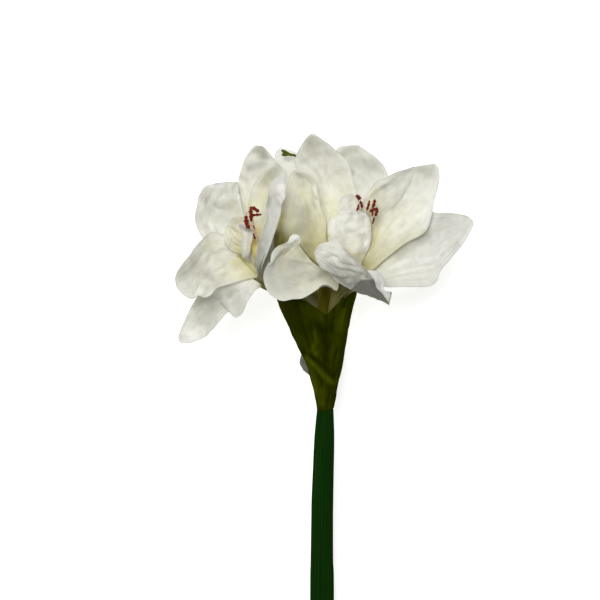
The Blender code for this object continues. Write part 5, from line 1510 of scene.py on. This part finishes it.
def pressed_polyester_petal():
    """Petal: woven polyester, printed with dye, pressed into ribs between hot moulds and crumpled by
    hand. The weave is too fine to show and leaves it matt, and light goes a little way through. It is
    pale, nearly colourless, with cream and yellow-green towards the throat. Painted light makes it
    brighter where light falls, and painted shade makes it greyer at tips, in folds, on undersides and
    under neighbouring petals, with a thin line of painted shade along its cut edge. The pressed veins
    are 0.7 mm apart. The crinkles of the cloth are 2 to 3 mm across and are drawn 6 mm across, because
    finer ones don't show."""
    width, vein, crinkle = 49, (0.7, 33.3), 6.0
    look, tree, shader = blank("pressed_polyester_petal", 0.75, 0.25)
    veins = long_streaks(tree, vein, (width, UV_SPAN), 3.0)
    faint = add(tree, "ShaderNodeMapRange", {"Value": veins, "From Min": 0.35, "From Max": 0.65,
                                             "To Max": 0.16})
    place = add(tree, "ShaderNodeTexCoord").outputs["Object"]
    crinkles = add(tree, "ShaderNodeTexNoise", {"Vector": place, "Scale": 1 / (crinkle * MM),
                                                "Detail": 3.0}).outputs[0]
    worn = add(tree, "ShaderNodeMapRange", {"Value": crinkles, "From Min": 0.4, "From Max": 0.7,
                                            "To Max": 0.22})
    lay_dyes(tree, shader, "#e6e6e1", [
        # The whiter tint is painted light, the two greys are painted shade, and olive is partly painted
        # shade
        *((tint, dye, "MIX") for tint, dye in TINTS.items()),
        (faint.outputs[0], "#bcbcb0", "MULTIPLY"),
        # Painted shade: a thin darker line along the cut edge
        ("painted_edge_shade", "#8c8c82", "MIX"),
        (worn.outputs[0], "#c8c8c0", "MULTIPLY"),
    ])
    relief = add(tree, "ShaderNodeMath", {0: crinkles, 1: 2.2, 2: veins}, operation="MULTIPLY_ADD")
    bump = add(tree, "ShaderNodeBump", {"Height": relief.outputs[0], "Strength": 0.5,
                                        "Distance": 0.5 * MM})
    tree.links.new(bump.outputs[0], shader.inputs["Normal"])
    shader.inputs["Subsurface Weight"].default_value = 0.35
    shader.inputs["Subsurface Radius"].default_value = (1.0, 0.95, 0.7)
    shader.inputs["Subsurface Scale"].default_value = 1.5 * MM
    return look


def dyed_polyester_tube():
    """Tube: dyed polyester cloth wrapped over wire. It is dull, dark olive at its foot and greyish
    towards the throat, with wrapped folds 1.2 mm wide that darken it a little."""
    girth, fold = 36, (1.2, 50)
    look, tree, shader = blank("dyed_polyester_tube", 0.9, 0.0)
    streaks = long_streaks(tree, fold, (girth, UV_SPAN), 3.0)
    tone = add(tree, "ShaderNodeMapRange", {"Value": streaks, "From Min": 0.35, "From Max": 0.65,
                                            "To Max": 0.4})
    lay_dyes(tree, shader, "#726e12", [
        ("rise", "#76724c", "MIX"),
        (tone.outputs[0], "#56501a", "MULTIPLY"),
    ])
    return look


def dyed_polyester_leaf():
    """Sheath: polyester leaf cloth, dyed unevenly and pressed with veins. It is dull and dark olive,
    with lighter streaks 4 mm wide, larger blotches where the dye ran, brown at its corner and paler
    inside, where less dye came through. Painted light lies on the ridges of its front folds, and painted
    shade lies in its hollows and under the petals."""
    girth, streak, blotch = 184, (4, 30.7), (20.4, 18.4)
    look, tree, shader = blank("dyed_polyester_leaf", 0.9, 0.0)
    streaks = long_streaks(tree, streak, (girth, SHEATH_LENGTH), 4.0)
    blotches = long_streaks(tree, blotch, (girth, SHEATH_LENGTH), 3.0)
    tone = add(tree, "ShaderNodeMapRange", {"Value": streaks, "From Min": 0.3, "From Max": 0.7})
    patch = add(tree, "ShaderNodeMapRange", {"Value": blotches, "From Min": 0.45, "From Max": 0.7,
                                             "To Max": 0.5})
    inside = add(tree, "ShaderNodeAttribute", attribute_name="inside").outputs["Fac"]
    faded = add(tree, "ShaderNodeMath", {0: inside, 1: 0.55}, operation="MULTIPLY")
    lay_dyes(tree, shader, "#192000", [
        (tone.outputs[0], "#333902", "MIX"),
        (patch.outputs[0], "#3e4402", "MIX"),
        # pale is painted light on the ridges of its front folds, and deep is painted shade in its
        # hollows and under the petals
        ("pale", "#5a6008", "MIX"),
        ("deep", "#171c00", "MIX"),
        ("edge", "#33300a", "MIX"),
        (faded.outputs[0], "#5c5f2a", "MIX"),
    ])
    bump = add(tree, "ShaderNodeBump", {"Height": streaks, "Strength": 0.4, "Distance": 0.5 * MM})
    tree.links.new(bump.outputs[0], shader.inputs["Normal"])
    return look


def moulded_polyethylene_stem():
    """Stem: polyethylene moulded over wire in one very dark green, with a fine grain from its mould
    that takes the shine off it. The streaks that run along the mould are 0.9 mm wide."""
    girth, streak = 54, (0.9, 83.3)
    look, tree, shader = blank("moulded_polyethylene_stem", 0.6, 0.0)
    streaks = long_streaks(tree, streak, (girth, UV_SPAN), 4.0)
    tone = add(tree, "ShaderNodeMapRange", {"Value": streaks, "From Min": 0.3, "From Max": 0.7})
    lay_dyes(tree, shader, "#0a2405", [(tone.outputs[0], "#16380d", "MIX")])
    bump = add(tree, "ShaderNodeBump", {"Height": streaks, "Strength": 0.3, "Distance": 0.3 * MM})
    tree.links.new(bump.outputs[0], shader.inputs["Normal"])
    return look


def grainy(name, dark, light, grain, roughness, depth):
    """A matt surface of two tones in grains of a given size in mm, which also stand in relief."""
    look, tree, shader = blank(name, roughness, 0.2)
    place = add(tree, "ShaderNodeTexCoord").outputs["Object"]
    noise = add(tree, "ShaderNodeTexNoise", {"Vector": place, "Scale": 1 / (grain * MM),
                                             "Detail": 3.0}).outputs[0]
    tone = add(tree, "ShaderNodeMapRange", {"Value": noise, "From Min": 0.35, "From Max": 0.65})
    lay_dyes(tree, shader, dark, [(tone.outputs[0], light, "MIX")])
    bump = add(tree, "ShaderNodeBump", {"Height": noise, "Strength": 0.6, "Distance": depth * MM})
    tree.links.new(bump.outputs[0], shader.inputs["Normal"])
    return look


def waxed_thread_filament():
    """Filament: polyester thread stiffened with wax, pale with a pinkish tone. The wax leaves it
    half matt and gathers every 1.5 mm."""
    return grainy("waxed_thread_filament", "#cdb09c", "#e6d6bd", 1.5, 0.6, 0.1)


def flocked_foam_pollen():
    """Pollen head: foam coated with red-brown flock, which makes it dull and grainy. The grains are
    0.2 mm wide and are drawn 0.6 mm wide, so that they show."""
    return grainy("flocked_foam_pollen", "#561008", "#8a2a18", 0.6, 0.85, 0.25)


def dipped_rubber_pistil():
    """Pistil: moulded rubber dipped in olive green dye, half matt. The dye gathers in spots 1.5 mm
    wide."""
    return grainy("dipped_rubber_pistil", "#3c4200", "#565e04", 1.5, 0.6, 0.2)


def make_flower():
    """All pieces of the flower."""
    petal, tube = pressed_polyester_petal(), dyed_polyester_tube()
    filament, pollen = waxed_thread_filament(), flocked_foam_pollen()
    pistil = dipped_rubber_pistil()
    stem_piece(moulded_polyethylene_stem())
    sheath_piece(dyed_polyester_leaf())
    seed = 1
    for bloom, petals, ruffles in (("left", LEFT_PETALS, LEFT_RUFFLES),
                                   ("right", RIGHT_PETALS, RIGHT_RUFFLES),
                                   ("back", BACK_PETALS, {})):
        tube_piece(bloom, tube)
        for kind, form, specs in (("petal", PETAL_FORM, petals), ("ruffle", RUFFLE_FORM, ruffles)):
            for name, spec in specs.items():
                spec = {**PLAIN, **form, **spec}
                petal_piece(f"{kind}_{bloom}_{name}", spec, bloom, petal, seed)
                seed += 1
        stamen_pieces(bloom, filament, pollen)
    pistil_piece(pistil)


def aim(thing, target):
    """Turns a light so that it points at a target."""
    away = np.array(target) - np.array(thing.location)
    flat = math.hypot(away[0], away[1])
    thing.rotation_euler = (math.atan2(flat, -away[2]), 0.0, -math.atan2(away[0], away[1]))


def make_studio():
    """Pale paper floor, a soft box beyond the blooms and above them, and a pale surrounding."""
    scene = bpy.context.scene
    look, _, shader = blank("studio_paper", 0.9, 0.0)
    shader.inputs["Base Color"].default_value = linear("#f6f6f6")
    shader.inputs["Emission Color"].default_value = (1.0, 1.0, 1.0, 1.0)
    shader.inputs["Emission Strength"].default_value = PAPER_GLOW
    corners = [(x * FLOOR_HALF, y * FLOOR_HALF, 0) for x, y in ((-1, -1), (1, -1), (1, 1), (-1, 1))]
    mesh = bpy.data.meshes.new("studio_floor")
    mesh.from_pydata(corners, [], [(0, 1, 2, 3)])
    mesh.materials.append(look)
    floor = bpy.data.objects.new("studio_floor", mesh)
    scene.collection.objects.link(floor)
    lamp = bpy.data.lights.new("key_box", "AREA")
    lamp.shape = "SQUARE"
    lamp.size = KEY_SIZE
    lamp.energy = KEY_POWER
    box = bpy.data.objects.new("key_box", lamp)
    scene.collection.objects.link(box)
    box.location = KEY_PLACE
    aim(box, KEY_TARGET)
    air = bpy.data.worlds.new("studio_air")
    air.use_nodes = True
    light = air.node_tree.nodes["Background"]
    light.inputs["Color"].default_value = (1.0, 1.0, 0.97, 1.0)
    light.inputs["Strength"].default_value = AIR_GLOW
    scene.world = air
    scene.view_settings.view_transform = "Standard"


def make_camera():
    """Straight above the layout's middle; the lens makes one layout step one picture point."""
    lens = bpy.data.cameras.new("camera")
    lens.sensor_width = SENSOR_WIDTH
    lens.lens = SENSOR_WIDTH * (VIEW_HEIGHT - LAYOUT_HEIGHT) / (PICTURE_WIDTH * STEP)
    camera = bpy.data.objects.new("camera", lens)
    camera.location = (MIDDLE_AT[0], MIDDLE_AT[1], VIEW_HEIGHT)
    bpy.context.scene.collection.objects.link(camera)
    bpy.context.scene.camera = camera


make_camera()
make_flower()
make_studio()
